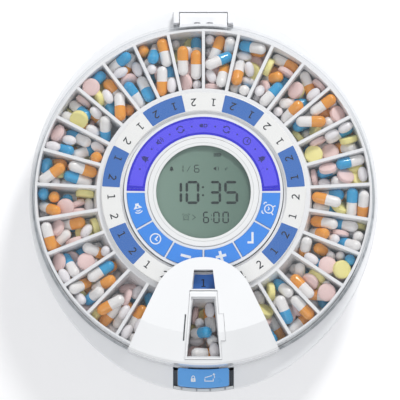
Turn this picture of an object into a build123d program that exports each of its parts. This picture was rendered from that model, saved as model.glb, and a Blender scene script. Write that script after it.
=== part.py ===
from build123d import *

import os
from math import acos, asin, cos, degrees, hypot, pi, radians, sin, sqrt, tan

# Automatic pill dispenser: a tray of compartments turns in a case, under a clear lid with a gate.
# Millimetres, +Z up, the tray turns about Z, the lid's hinge is at +Y and its latch at -Y.

# ---- Tray, in plan ----
compartments = 29
tray_radius = 92.6
tray_wall = 1.3
compartment_inner = 58.7
inner_wall_slope = 3.5  # how much further out the inner wall stands at the tray's floor
divider_thickness = 1.7
ring_width = 10.5
ring_lip = 1.4  # tray inside the dosage ring
hub_gap = 0.5
inner_wall = 1.7

# ---- Case, in plan ----
tray_gap = 0.35
well_wall_start = 50.0  # the well has its own wall only this far out along Y
shell_wall = 1.6
flange_overhang = 1.95
end_reach = 11.8  # how much the case is longer than wide, at each end
end_arc_centre = 25.1
latch_half_width = 16.6
cover_half_width = 46.9
edge_round = 1.0
cover_skirt = 0.5  # upright edge of the rear cover under its rounding
bottom_round = 5.0
shell_taper = 20.0

# ---- Heights ----
foot_height = 1.0
floor_thickness = 2.4
mechanism_height = 17.1
deck_thickness = 2.0
glide_height = 2.4
run_gap = 0.1
tray_floor_thickness = 1.5
compartment_depth = 20.0
ring_thickness = 2.3
ring_round = 0.4
key_rise = 0.5  # keys stand this much above the console
flange_thickness = 3.0
flange_above_tray = 8.0  # top of the flange over the underside of the tray
band_height = 10.0  # upright stretch of the case under the flange
lid_clearance = 1.1
lid_thickness = 1.6
lid_wall = 1.4
lid_gap = 0.8  # tray to lid wall
lid_foot_gap = 0.5
lid_round = 1.8
spare_height = 10.0  # of cutters over the top

# ---- Hub and console ----
hub_radius = 43.6
hub_wall = 1.2
console_thickness = 1.8
lens_radius = 26.4
lens_thickness = 1.3
bezel_inner = 25.9
bezel_outer = 30.3
bezel_rise = 0.6
bezel_round = 0.25
key_inner = 32.1
key_outer = 42.1
key_gap = 1.2
key_clearance = 0.15
key_travel = 0.8
key_round = 0.3
key_sink = 0.4  # key's foot under the console's underside
key_rest_gap = 0.1
key_flange = 0.9
key_flange_thickness = 0.8
key_count = 6
lamp_trim = 3.0  # degrees between the alarm light's ends and the keys
light_rise = 0.1
lamp_length, lamp_width, lamp_height = 3.5, 2.8, 1.6
display_radius = 28.0
display_gap = 0.1
board_radius = 40.0
board_thickness = 1.6
membrane_thickness = 1.5
membrane_trim = 7.0
post_circle = 37.0
post_radius = 2.5
post_rib = 1.6
post_angles = (0, 60, 120, 180)
lamp_angles = (20, 40, 90, 140, 160)
buzzer_x, buzzer_radius, buzzer_height = 14.0, 6.0, 5.0
tilt_x, tilt_y, tilt_drop = -14.0, 6.0, 4.0
tilt_radius, tilt_length = 2.2, 9.0
tilt_foot_length, tilt_foot_width, tilt_foot_height = 6.0, 3.0, 2.0

# ---- Drive ----
gear_module = 0.8
ring_teeth = 5 * compartments
pinion_teeth = 15
pressure_angle = 20.0
ring_tooth_height = 1.6
ring_tooth_root = 1.0
backlash = 0.1
pinion_dedendum = 1.25  # modules
flank_start = 0.05
gear_rim = 1.5
gear_height = 4.0
shaft_radius = 1.5
running_clearance = 0.05
motor_radius = 10.0
motor_round = 1.0
gearbox_height = 4.5
motor_gap = 2.0
motor_ear = 14.0
motor_ear_radius = 3.2
ear_thickness = 2.0
shaft_socket_floor, shaft_seat = 0.5, 0.8  # over the gearbox's underside
pinion_lift, pinion_drop = 0.3, 0.2  # inside the tray gear's height
glide_radius = 72.0
glide_width = 3.0
switch_angle = -60.0
switch_length, switch_width, switch_height = 8.0, 5.0, 6.0
switch_button_radius, switch_button_height = 0.8, 1.2

# ---- Batteries ----
cell_radius = 7.25
cell_length = 49.5
cell_pitch = 14.7
cell_count = 4
cell_clearance = 0.4
contact_room = 1.6
contact_thickness = 0.6
cell_lift = 0.6
housing_wall = 1.4
housing_roof = 1.2
door_thickness = 1.6
door_gap = 0.2
door_travel = 8.0
door_tongue = 1.2
door_tongue_thickness = 0.6
door_recess = 0.1
door_headroom = 0.3
groove_length = 16.0
groove_pitch = 2.4
groove_depth = 1.0
groove_count = 5

# ---- Gate cover and flap ----
gate_half_angle = 25.4
gate_arc_centre = 65.1
gate_rise = 3.0
gate_plate = 2.8
gate_wall = 1.6
gate_slope_width = 15.2
gate_rim_drop = 7.4
gate_proud = 0.4  # skirt over the lid wall
gate_edge = 1.0
gate_foot_gap = 1.0
gate_slope_under = 5.0  # the slope starts this much further out on the underside
slope_under_drop, slope_under_angle = 0.7, 20.0
hollow_inset = 1.25
window_before, window_beyond = 1.4, -1.3  # window past the dosage ring's two edges
window_half_near, window_half_far = 5.1, 6.4
hatch_inset_near, hatch_inset_far = 1.3, 0.8  # hatch inside the compartment's two ends
hatch_half_near, hatch_half_far = 6.0, 9.0
flap_lap_near, flap_lap_far = 2.8, 1.7  # flap past the hatch's two ends
flap_half_near, flap_half_far = 7.3, 9.95
frame_width = 0.85
frame_head = 1.8  # width of the frame at the flap's barrel
flap_thickness = 1.2
flap_sink = 0.7
flap_gap = 0.1
flap_side_gap = 0.25
pane_thickness = 0.6
pane_lift = 0.2
ear_start, ear_end = 11.3, 9.5  # ear from the flap's two ends
ear_width = 2.6
slit_width = 0.8
slit_gap = 0.9
flap_pin_radius = 0.5
flap_pivot_depth = 0.8
flap_groove_gap = 0.15
flap_open = 110.0  # degrees
flap_pin_overhang = 1.9

# ---- Lid hinge ----
hinge_setback = 5.8  # hinge axis behind the edge of the recesses
hinge_above_flange = 2.0
barrel_radius = 3.0
pin_radius = 1.25
leaf_half_width = 13.2
leaf_gap = 0.4
leaf_thickness = 1.5
leaf_height = 9.6
leaf_drop = 0.6  # leaf under the hinge's axis
leaf_screw_x, leaf_screw_rise, leaf_screw_short = 3.5, 6.0, 0.1
arm_thickness = 2.4
bracket_plate = 1.2
bracket_ear_depth = 6.4
bracket_barrel_gap = 0.8
pin_short = 0.4

# ---- Latch ----
button_half_width = 14.0
button_gap = 0.7
recess_lap = 0.2  # how much the latch button overlaps the edge of its recess, in plan
button_front_inset = 2.25
button_corner, button_round = 1.2, 0.5
recess_step = 0.2  # plates in the recesses start this much behind their edges
button_thickness = 1.8
button_travel = 2.0
button_floor_gap = 0.2  # left under the pressed button
latch_plate = 1.0
stem_width = 16.0
stem_depth = 3.5
stem_length = 7.2
stem_gap = 0.3
latch_wall = 1.2
spring_length = 7.8
spring_radius = 1.35
spring_wire = 0.3
spring_turns = 5
rib_inset = 0.2
rib_depth = 1.7
rib_rise = 0.4
rib_cuts = (-11.9, -3.7, 3.7, 11.9)
rib_cut_width = 0.9
rib_side_gap = 0.3
catch_half_width = 8.0
catch_depth = 3.6
catch_gap = 0.3
catch_inset = 0.1

# ---- Fasteners and feet ----
screw_inset_x, screw_inset_y = 44.5, 46.3  # case screws from the case's sides and ends
boss_radius = 3.5
screw_radius = 1.5
screw_head_radius = 2.8
screw_head_height = 1.2
screw_head_sink = 0.2
screw_length = 10.0
small_screw_radius = 1.0
small_head_radius = 1.9
small_head_height = 1.0
board_screw_length = 5.0
foot_x, foot_inset_y = 34.0, 30.3
foot_radius = 6.0

# ---- Worked out from the values above ----
tray_bore = hub_radius + hub_gap
ring_inner = tray_bore + ring_lip
ring_outer = ring_inner + ring_width
web_outer = compartment_inner - inner_wall
well_radius = tray_radius + tray_gap
case_half_width = well_radius + shell_wall + flange_overhang
case_half_depth = case_half_width + end_reach
end_radius = case_half_depth - end_arc_centre
case_screw_x, case_screw_y = case_half_width - screw_inset_x, case_half_depth - screw_inset_y
foot_y = case_half_depth - foot_inset_y
# The side arcs touch the end arcs, which gives their radius.
side_radius = (case_half_width**2 + end_arc_centre**2 - end_radius**2) / (2 * (case_half_width - end_radius))
side_arc_centre = side_radius - case_half_width
join_angle = degrees(asin(end_arc_centre / hypot(side_arc_centre, end_arc_centre)))

case_bottom = foot_height
floor_top = case_bottom + floor_thickness
deck_bottom = floor_top + mechanism_height
deck_top = deck_bottom + deck_thickness
tray_bottom = deck_top + glide_height + run_gap
tray_floor_top = tray_bottom + tray_floor_thickness
tray_top = tray_floor_top + compartment_depth
web_bottom = tray_top - tray_floor_thickness
ring_top = tray_top + ring_thickness
flange_top = tray_bottom + flange_above_tray
flange_bottom = flange_top - flange_thickness
band_bottom = flange_bottom - band_height
console_top = ring_top
console_bottom = console_top - console_thickness
key_top = console_top + key_rise
lid_under = key_top + lid_clearance
lid_top = lid_under + lid_thickness
gate_top = lid_top + gate_rise
lid_inner = tray_radius + lid_gap
lid_outer = lid_inner + lid_wall
lid_foot = flange_top + lid_foot_gap
gate_outer = lid_outer + gate_proud
gate_rim = gate_outer - gate_edge
gate_flat_radius = gate_rim - gate_slope_width
gate_shoulder = gate_top - gate_rim_drop
gate_foot = flange_top + gate_foot_gap
window_near, window_far = ring_inner - window_before, ring_outer + window_beyond
hatch_near, hatch_far = compartment_inner + hatch_inset_near, tray_radius - tray_wall - hatch_inset_far
flap_near, flap_far = hatch_near - flap_lap_near, hatch_far + flap_lap_far
ear_near, ear_far = flap_near + ear_start, flap_far - ear_end
above_all = gate_top + spare_height
notch_edge = gate_outer + button_gap - recess_lap
hinge_y = notch_edge + hinge_setback

ring_pitch = gear_module * ring_teeth / 2
pinion_pitch = gear_module * pinion_teeth / 2
gear_centres = ring_pitch - pinion_pitch
gear_root = ring_pitch + ring_tooth_root
gear_tip = gear_root - ring_tooth_height
gear_outer = gear_root + gear_rim
gear_top = tray_bottom + gear_height

key_angle = 180 / key_count
key_bottom = console_bottom - key_sink
key_flange_bottom = key_bottom - key_flange_thickness
membrane_top = key_flange_bottom - key_travel - key_rest_gap
board_top = membrane_top - membrane_thickness
board_bottom = board_top - board_thickness


def oval(inset=0.0):
    """Plan outline of the case, moved inwards by an inset."""
    with BuildSketch() as outline:
        with BuildLine():
            for side in (0, 180):
                CenterArc((-side_arc_centre * cos(radians(side)), 0), side_radius - inset,
                          side - join_angle, 2 * join_angle)
                CenterArc((0, end_arc_centre * cos(radians(side))), end_radius - inset,
                          side + join_angle, 180 - 2 * join_angle)
        make_face()
    return outline.sketch


def arc_band(inner, outer, start, sweep, gap=0.0):
    """Face between two radii, with half of a parallel gap taken off both ends."""
    inner_trim = degrees(asin(gap / 2 / inner))
    outer_trim = degrees(asin(gap / 2 / outer))
    with BuildSketch() as band:
        with BuildLine():
            inside = CenterArc((0, 0), inner, start + inner_trim, sweep - 2 * inner_trim)
            outside = CenterArc((0, 0), outer, start + outer_trim, sweep - 2 * outer_trim)
            Line(inside @ 0, outside @ 0)
            Line(inside @ 1, outside @ 1)
        make_face()
    return band.sketch


def ring(inner, outer, bottom, top):
    """Plain ring about the tray's axis."""
    with BuildPart() as body:
        with BuildSketch(Plane.XY.offset(bottom)):
            Circle(outer)
            Circle(inner, mode=Mode.SUBTRACT)
        extrude(amount=top - bottom)
    return body.part


def front_trapezoid(near, far, half_near, half_far):
    """Face that widens away from the tray's axis, at the front."""
    with BuildSketch() as shape:
        Polygon((-half_near, -near), (-half_far, -far), (half_far, -far), (half_near, -near), align=None)
    return shape.sketch


def case_solid(inset, bottom, top):
    """Bowl of the case at an inset: upright band above, tapered below."""
    with BuildPart() as bowl:
        with BuildSketch(Plane.XY.offset(band_bottom)):
            add(oval(inset))
        extrude(amount=top - band_bottom)
        with BuildSketch(Plane.XY.offset(band_bottom)):
            add(oval(inset))
        with BuildSketch(Plane.XY.offset(bottom)):
            add(oval(inset + (band_bottom - bottom) * tan(radians(shell_taper))))
        loft(ruled=True)
        fillet(bowl.edges().group_by(Axis.Z)[0], bottom_round)
    return bowl.part


def screws(spots, head_under, shank_length, radius, head_radius, head_height, up=True):
    """Screws with their heads' inner faces at one height, one separate solid for each spot."""
    way = 1 if up else -1
    with BuildPart() as group:
        with BuildSketch(Plane.XY.offset(head_under)):
            with Locations(*spots):
                Circle(head_radius)
        extrude(amount=-way * head_height)
        with BuildSketch(Plane.XY.offset(head_under)):
            with Locations(*spots):
                Circle(radius)
        extrude(amount=way * shank_length)
    return group.part


def turned(radius, angle):
    """Point at a radius and an angle in degrees from +X."""
    return (radius * cos(radians(angle)), radius * sin(radians(angle)))


# ---- Case ----
hinge_z = flange_top + hinge_above_flange
recess_floor = flange_bottom + latch_plate
catch_angle = degrees(asin(catch_half_width / lid_inner))
slot_angle = degrees(asin((catch_half_width + catch_gap) / lid_inner))
case_screw_spots = [(x * case_screw_x, y * case_screw_y) for x in (-1, 1) for y in (-1, 1)]
cells_half_width = (cell_count - 1) / 2 * cell_pitch + cell_radius + cell_clearance
cells_half_depth = cell_length / 2 + contact_room
door_half_width = cells_half_width
door_half_depth = cells_half_depth + housing_wall / 2
door_bottom = case_bottom + door_recess
tongue_bottom = door_bottom + (door_thickness - door_tongue_thickness) / 2
pocket_length = 2 * (door_half_depth + door_gap) + door_travel

with BuildPart() as base_shell:
    add(case_solid(flange_overhang, case_bottom, flange_bottom))
    add(case_solid(flange_overhang + shell_wall, floor_top, flange_bottom), mode=Mode.SUBTRACT)
    # Opening for the battery door, with a groove along each side for its tongues
    with Locations((0, door_travel / 2, case_bottom)):
        Box(2 * (door_half_width + door_gap), pocket_length, door_thickness + door_headroom,
            align=(Align.CENTER, Align.CENTER, Align.MIN), mode=Mode.SUBTRACT)
    with Locations((0, door_travel / 2, tongue_bottom - door_gap)):
        Box(2 * (door_half_width + door_tongue + door_gap), pocket_length,
            door_tongue_thickness + 2 * door_gap,
            align=(Align.CENTER, Align.CENTER, Align.MIN), mode=Mode.SUBTRACT)
    with Locations((0, 0, case_bottom)):
        Box(2 * cells_half_width, 2 * cells_half_depth, floor_thickness,
            align=(Align.CENTER, Align.CENTER, Align.MIN), mode=Mode.SUBTRACT)
    with BuildSketch(Plane.XY.offset(case_bottom)):
        with Locations(*case_screw_spots):
            Circle(screw_radius)
    extrude(amount=floor_thickness, mode=Mode.SUBTRACT)
    with BuildSketch(Plane.XY.offset(case_bottom)):
        with Locations(*case_screw_spots):
            Circle(screw_head_radius)
    extrude(amount=screw_head_height, mode=Mode.SUBTRACT)

# The flange, before the rear cover is parted from it
with BuildPart() as flange_blank:
    with BuildSketch(Plane.XY.offset(flange_bottom)):
        add(oval())
    extrude(amount=flange_thickness)
    with Locations((0, 0, flange_bottom)):
        Cylinder(well_radius, flange_thickness,
                 align=(Align.CENTER, Align.CENTER, Align.MIN), mode=Mode.SUBTRACT)
    # Recesses for the latch, at the front, and for the hinge, at the rear
    with BuildSketch(Plane.XY.offset(flange_bottom)):
        with Locations((0, -case_half_depth)):
            Rectangle(2 * latch_half_width, 2 * (case_half_depth - well_radius))
        Circle(notch_edge, mode=Mode.SUBTRACT)
        with Locations((0, notch_edge)):
            Rectangle(2 * latch_half_width, case_half_depth, align=(Align.CENTER, Align.MIN))
    extrude(amount=flange_thickness, mode=Mode.SUBTRACT)
    with BuildSketch(Plane.XY.offset(flange_bottom)):
        add(arc_band(well_radius + catch_gap, notch_edge + catch_gap, 270 - slot_angle, 2 * slot_angle))
    extrude(amount=flange_thickness, mode=Mode.SUBTRACT)

cover_bottom = flange_top - edge_round - cover_skirt
with BuildPart() as cover_zone:
    with Locations((0, 0, cover_bottom)):
        Box(2 * cover_half_width, case_half_depth + end_reach, flange_thickness,
            align=(Align.CENTER, Align.MIN, Align.MIN))


def rim_edges(body):
    """Top edges of a body that follow the case's outline."""
    arcs = body.edges().group_by(Axis.Z)[-1].filter_by(GeomType.CIRCLE)
    outline_radii = (end_radius, side_radius)
    return [arc for arc in arcs if min(abs(arc.radius - radius) for radius in outline_radii) < 0.01]


with BuildPart() as hinge_cover:
    add(flange_blank.part)
    add(cover_zone.part, mode=Mode.INTERSECT)
    fillet(rim_edges(hinge_cover), edge_round)

with BuildPart() as upper_case:
    add(flange_blank.part)
    add(cover_zone.part, mode=Mode.SUBTRACT)
    fillet(rim_edges(upper_case), edge_round)
    # Well wall, where the case is longer than the tray, and the deck under the tray
    with BuildSketch(Plane.XY.offset(deck_bottom)):
        add(oval(flange_overhang + shell_wall + run_gap))
        Circle(well_radius + shell_wall, mode=Mode.INTERSECT)
        Circle(well_radius, mode=Mode.SUBTRACT)
        Rectangle(2 * case_half_width, 2 * well_wall_start, mode=Mode.SUBTRACT)
    extrude(amount=flange_bottom - deck_bottom)
    with BuildSketch(Plane.XY.offset(deck_bottom)):
        add(oval(flange_overhang + shell_wall + run_gap))
        Circle(well_radius + shell_wall, mode=Mode.INTERSECT)
    extrude(amount=deck_thickness)
    with BuildSketch(Plane.XY.offset(floor_top)):
        with Locations(*case_screw_spots):
            Circle(boss_radius)
    extrude(amount=deck_bottom - floor_top)
    with BuildSketch(Plane.XY.offset(floor_top)):
        with Locations(*case_screw_spots):
            Circle(screw_radius)
    extrude(amount=screw_length, mode=Mode.SUBTRACT)
    with Locations((-gear_centres, 0, deck_bottom)):
        Cylinder(shaft_radius + 2 * running_clearance, deck_thickness,
                 align=(Align.CENTER, Align.CENTER, Align.MIN), mode=Mode.SUBTRACT)
    with BuildSketch(Plane.XY.offset(deck_bottom)):
        with Locations((-gear_centres, motor_ear), (-gear_centres, -motor_ear)):
            Circle(small_screw_radius)
    extrude(amount=deck_thickness, mode=Mode.SUBTRACT)

with BuildPart() as case_screws:
    add(screws(case_screw_spots, case_bottom + screw_head_height, screw_length,
               screw_radius, screw_head_radius, screw_head_height - screw_head_sink))

with BuildPart() as rubber_feet:
    with BuildSketch():
        with Locations(*[(x * foot_x, y * foot_y) for x in (-1, 1) for y in (-1, 1)]):
            Circle(foot_radius)
    extrude(amount=foot_height)
    fillet(rubber_feet.edges().group_by(Axis.Z)[0], foot_height / 3)

with BuildPart() as glide_ring:
    add(ring(glide_radius, glide_radius + glide_width, deck_top, deck_top + glide_height))

# ---- Batteries ----
housing_half_width = cells_half_width + housing_wall
housing_half_depth = cells_half_depth + housing_wall
cells_bottom = floor_top + cell_lift
housing_top = cells_bottom + 2 * cell_radius + cell_clearance + housing_roof
cell_rows = [(i - (cell_count - 1) / 2) * cell_pitch for i in range(cell_count)]
contact_height = 1.4 * cell_radius

with BuildPart() as battery_housing:
    with Locations((0, 0, floor_top)):
        Box(2 * housing_half_width, 2 * housing_half_depth, housing_top - floor_top,
            align=(Align.CENTER, Align.CENTER, Align.MIN))
        Box(2 * cells_half_width, 2 * cells_half_depth, housing_top - housing_roof - floor_top,
            align=(Align.CENTER, Align.CENTER, Align.MIN), mode=Mode.SUBTRACT)

with BuildPart() as battery_cells:
    with BuildSketch(Plane.XZ.offset(-cell_length / 2)):
        with Locations(*[(x, cells_bottom + cell_radius) for x in cell_rows]):
            Circle(cell_radius)
    extrude(amount=cell_length)

with BuildPart() as battery_contacts:
    for way in (-1, 1):
        for x in cell_rows:
            with Locations((x, way * (cells_half_depth - contact_thickness / 2),
                            cells_bottom + cell_radius)):
                Box(contact_height, contact_thickness, contact_height)
            with Locations((x, way * (cells_half_depth + cell_length / 2 - contact_thickness) / 2,
                            cells_bottom + cell_radius)):
                Cylinder(cell_radius / 3, cells_half_depth - contact_thickness - cell_length / 2,
                         rotation=(90, 0, 0))

with BuildPart() as battery_door:
    with Locations((0, 0, door_bottom)):
        Box(2 * door_half_width, 2 * door_half_depth, door_thickness,
            align=(Align.CENTER, Align.CENTER, Align.MIN))
    with Locations((0, 0, tongue_bottom)):
        Box(2 * (door_half_width + door_tongue), 2 * door_half_depth, door_tongue_thickness,
            align=(Align.CENTER, Align.CENTER, Align.MIN))
    # Finger grooves
    with Locations(*[(0, groove_pitch * groove - door_half_depth / 2, door_bottom) for groove in range(groove_count)]):
        Box(groove_length, groove_pitch / 2, groove_depth, mode=Mode.SUBTRACT)

# ---- Drive ----
gearbox_bottom = deck_bottom - gearbox_height
motor_bottom = floor_top + motor_gap
motor_screw_spots = [(-gear_centres, motor_ear), (-gear_centres, -motor_ear)]

with BuildPart() as motor:
    with Locations((-gear_centres, 0, motor_bottom)):
        Cylinder(motor_radius, gearbox_bottom - motor_bottom,
                 align=(Align.CENTER, Align.CENTER, Align.MIN))
    fillet(motor.edges().group_by(Axis.Z)[0], motor_round)

with BuildPart() as gearbox:
    with Locations((-gear_centres, 0, gearbox_bottom)):
        Cylinder(motor_radius, gearbox_height, align=(Align.CENTER, Align.CENTER, Align.MIN))
    with BuildSketch(Plane.XY.offset(deck_bottom - ear_thickness)):
        with Locations((-gear_centres, 0)):
            SlotCenterToCenter(2 * motor_ear, 2 * motor_ear_radius, rotation=90)
    extrude(amount=ear_thickness)
    with BuildSketch(Plane.XY.offset(deck_bottom - ear_thickness)):
        with Locations(*motor_screw_spots):
            Circle(small_screw_radius)
    extrude(amount=ear_thickness, mode=Mode.SUBTRACT)
    with Locations((-gear_centres, 0, gearbox_bottom + shaft_socket_floor)):
        Cylinder(shaft_radius + running_clearance, gearbox_height,
                 align=(Align.CENTER, Align.CENTER, Align.MIN), mode=Mode.SUBTRACT)

with BuildPart() as motor_screws:
    add(screws(motor_screw_spots, deck_bottom - ear_thickness, ear_thickness + deck_thickness,
               small_screw_radius, small_head_radius, small_head_height))

pinion_bottom = tray_bottom + pinion_lift
pinion_top = gear_top - pinion_drop
with BuildPart() as motor_shaft:
    with Locations((-gear_centres, 0, gearbox_bottom + shaft_seat)):
        Cylinder(shaft_radius, pinion_top - gearbox_bottom - shaft_seat,
                 align=(Align.CENTER, Align.CENTER, Align.MIN))


def involute(base, radius):
    """Angle, in radians, that an involute has turned through at a radius."""
    if radius <= base:
        return 0.0
    pressure = acos(base / radius)
    return tan(pressure) - pressure


def toothed_face(teeth, radii, thickening):
    """Gear outline with involute flanks given at some radii, the first tooth along -X."""
    pitch_radius = gear_module * teeth / 2
    base = pitch_radius * cos(radians(pressure_angle))
    half_tooth = pi / 2 / teeth + thickening / 2 / pitch_radius
    half_base = half_tooth + involute(base, pitch_radius)
    flank = [(radius, half_base - involute(base, radius)) for radius in radii]
    points = []
    for tooth in range(teeth):
        middle = pi + tooth * 2 * pi / teeth
        points += [(radius * cos(middle - half), radius * sin(middle - half)) for radius, half in flank]
        back = reversed(flank)
        points += [(radius * cos(middle + half), radius * sin(middle + half)) for radius, half in back]
    with BuildSketch() as gear:
        with BuildLine():
            Polyline(*points, close=True)
        make_face()
    return gear.sketch


with BuildPart() as tray_gear:
    with BuildSketch(Plane.XY.offset(tray_bottom)):
        Circle(gear_outer)
        add(toothed_face(ring_teeth, (gear_tip, gear_root), backlash), mode=Mode.SUBTRACT)
    extrude(amount=gear_height)

pinion_root = pinion_pitch - pinion_dedendum * gear_module
pinion_tip = pinion_pitch + gear_module
pinion_base = pinion_pitch * cos(radians(pressure_angle))
pinion_flank = (pinion_root, pinion_base + flank_start, pinion_pitch,
                (pinion_pitch + pinion_tip) / 2, pinion_tip)
with BuildPart() as drive_pinion:
    with BuildSketch(Plane.XY.offset(pinion_bottom)):
        with Locations((-gear_centres, 0)):
            add(toothed_face(pinion_teeth, pinion_flank, -backlash))
            Circle(shaft_radius, mode=Mode.SUBTRACT)
    extrude(amount=pinion_top - pinion_bottom)

switch_spot = turned((tray_bore + web_outer) / 2, switch_angle)
with BuildPart() as index_switch:
    with Locations((switch_spot[0], switch_spot[1], deck_top)):
        Box(switch_length, switch_width, switch_height,
            align=(Align.CENTER, Align.CENTER, Align.MIN))
    with Locations((switch_spot[0], switch_spot[1], deck_top + switch_height)):
        Cylinder(switch_button_radius, switch_button_height,
                 align=(Align.CENTER, Align.CENTER, Align.MIN))

# ---- Tray ----
slope_foot = compartment_inner + inner_wall_slope
with BuildPart() as tray_floor:
    add(ring(gear_outer, tray_radius, tray_bottom, tray_floor_top))

with BuildPart() as tray_outer_wall:
    add(ring(tray_radius - tray_wall, tray_radius, tray_floor_top, tray_top))

with BuildPart() as tray_inner_wall:
    with BuildSketch(Plane.XZ):
        with BuildLine():
            Polyline((gear_outer, tray_floor_top), (slope_foot, tray_floor_top),
                     (compartment_inner, tray_top), (web_outer, tray_top),
                     (web_outer, gear_top), (gear_outer, gear_top), close=True)
        make_face()
    revolve(axis=Axis.Z)

with BuildPart() as tray_web:
    add(ring(tray_bore, web_outer, web_bottom, tray_top))

with BuildPart() as tray_dividers:
    with BuildSketch(Plane.XY.offset(tray_floor_top)):
        with PolarLocations(tray_radius / 2, compartments, start_angle=90):
            Rectangle(tray_radius, divider_thickness)
        Circle(tray_radius - tray_wall, mode=Mode.INTERSECT)
        Circle(compartment_inner, mode=Mode.SUBTRACT)
    extrude(amount=compartment_depth)
    with Locations((0, 0, tray_floor_top)):
        Cone(slope_foot, compartment_inner, compartment_depth,
             align=(Align.CENTER, Align.CENTER, Align.MIN), mode=Mode.SUBTRACT)

with BuildPart() as dosage_ring:
    add(ring(ring_inner, ring_outer, tray_top, ring_top))
    fillet(dosage_ring.edges().group_by(Axis.Z)[-1], ring_round)

# ---- Hub ----
post_spots = [turned(post_circle, angle) for angle in post_angles]
with BuildPart() as hub_housing:
    add(ring(hub_radius - hub_wall, hub_radius, deck_top, console_bottom))
    for angle in post_angles:
        with BuildSketch(Plane.XY.offset(deck_top)):
            with Locations(turned(post_circle, angle)):
                Circle(post_radius)
            with Locations(turned((post_circle + hub_radius - hub_wall / 2) / 2, angle)):
                Rectangle(hub_radius - hub_wall / 2 - post_circle, post_rib, rotation=angle)
        extrude(amount=board_bottom - deck_top)
    with BuildSketch(Plane.XY.offset(board_bottom)):
        with Locations(*post_spots):
            Circle(small_screw_radius)
    extrude(amount=-board_screw_length, mode=Mode.SUBTRACT)

with BuildPart() as main_board:
    with BuildSketch(Plane.XY.offset(board_bottom)):
        Circle(board_radius)
        with Locations(*post_spots):
            Circle(small_screw_radius, mode=Mode.SUBTRACT)
    extrude(amount=board_thickness)

with BuildPart() as board_screws:
    add(screws(post_spots, board_top, board_thickness + board_screw_length, small_screw_radius,
               small_head_radius, small_head_height, up=False))

with BuildPart() as display:
    with Locations((0, 0, board_top)):
        Cylinder(display_radius, console_bottom - board_top - display_gap,
                 align=(Align.CENTER, Align.CENTER, Align.MIN))

with BuildPart() as display_lens:
    with Locations((0, 0, console_bottom)):
        Cylinder(lens_radius, lens_thickness, align=(Align.CENTER, Align.CENTER, Align.MIN))

with BuildPart() as display_bezel:
    add(ring(bezel_inner, bezel_outer, console_top, console_top + bezel_rise))
    fillet(display_bezel.edges().group_by(Axis.Z)[-1], bezel_round)

lamp_start, lamp_sweep = lamp_trim, 180 - 2 * lamp_trim
with BuildPart() as console_cover:
    with BuildSketch(Plane.XY.offset(console_bottom)):
        Circle(hub_radius)
        Circle(lens_radius, mode=Mode.SUBTRACT)
        add(arc_band(key_inner, key_outer, lamp_start, lamp_sweep), mode=Mode.SUBTRACT)
        for key in range(key_count):
            add(arc_band(key_inner, key_outer, 180 + key * key_angle, key_angle, key_gap - 2 * key_clearance),
                mode=Mode.SUBTRACT)
    extrude(amount=console_thickness)

with BuildPart() as alarm_light:
    with BuildSketch(Plane.XY.offset(console_bottom)):
        add(arc_band(key_inner, key_outer, lamp_start, lamp_sweep))
    extrude(amount=console_thickness + light_rise)

with BuildPart() as alarm_lamps:
    for angle in lamp_angles:
        with Locations(Location((*turned(post_circle, angle), board_top), (0, 0, angle))):
            Box(lamp_length, lamp_width, lamp_height, align=(Align.CENTER, Align.CENTER, Align.MIN))

with BuildPart() as key_membrane:
    with BuildSketch(Plane.XY.offset(board_top)):
        add(arc_band(key_inner - key_flange, board_radius, 180 + membrane_trim, 180 - 2 * membrane_trim))
    extrude(amount=membrane_thickness)

key_names = ("volume_key", "clock_key", "minus_key", "plus_key", "confirm_key", "alarm_key")
keys = {}
for index, name in enumerate(key_names):
    start = 180 + index * key_angle
    with BuildPart() as key:
        with BuildSketch(Plane.XY.offset(key_bottom)):
            add(arc_band(key_inner + key_clearance, key_outer - key_clearance, start, key_angle, key_gap))
        extrude(amount=key_top - key_bottom)
        fillet(key.edges().group_by(Axis.Z)[-1], key_round)
        with BuildSketch(Plane.XY.offset(key_flange_bottom)):
            add(arc_band(key_inner - key_flange, key_outer - key_clearance, start, key_angle, key_gap))
        extrude(amount=key_flange_thickness)
    keys[name] = key.part

with BuildPart() as buzzer:
    with Locations((buzzer_x, 0, board_bottom - buzzer_height)):
        Cylinder(buzzer_radius, buzzer_height, align=(Align.CENTER, Align.CENTER, Align.MIN))

with BuildPart() as tilt_switch:
    with Locations((tilt_x, tilt_y, board_bottom - tilt_drop)):
        Cylinder(tilt_radius, tilt_length, rotation=(0, 90, 0))
    with Locations((tilt_x, tilt_y, board_bottom - tilt_foot_height / 2)):
        Box(tilt_foot_length, tilt_foot_width, tilt_foot_height)

# ---- Lid ----
def gate_outline(inset=0.0):
    """Plan outline of the gate cover: two radial sides, a domed inner end, round outer end."""
    turn = radians(gate_half_angle)
    along, across = Vector(sin(turn), -cos(turn)), Vector(cos(turn), sin(turn))
    dome = gate_arc_centre * sin(turn) - inset
    outer = gate_outer - inset / 2
    start = Vector(0, -gate_arc_centre) + across * dome
    reach = -start.dot(along) + sqrt(start.dot(along) ** 2 - start.dot(start) + outer**2)
    end = start + along * reach
    with BuildSketch() as outline:
        with BuildLine():
            Line(start, end)
            ThreePointArc(end, (0, -outer), (-end.X, end.Y))
            Line((-end.X, end.Y), (-start.X, start.Y))
            ThreePointArc((-start.X, start.Y), (0, dome - gate_arc_centre), start)
        make_face()
    return outline.sketch


def turned_profile(points):
    """Solid of revolution about the tray's axis, from radius and height pairs."""
    with BuildPart() as body:
        with BuildSketch(Plane.XZ):
            with BuildLine():
                Polyline(*points, close=True)
            make_face()
        revolve(axis=Axis.Z)
    return body.part


def column(face):
    """Upright prism over a face, through the whole lid."""
    with BuildPart() as prism:
        with BuildSketch(Plane.XY):
            add(face)
        extrude(amount=above_all)
    return prism.part


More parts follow.
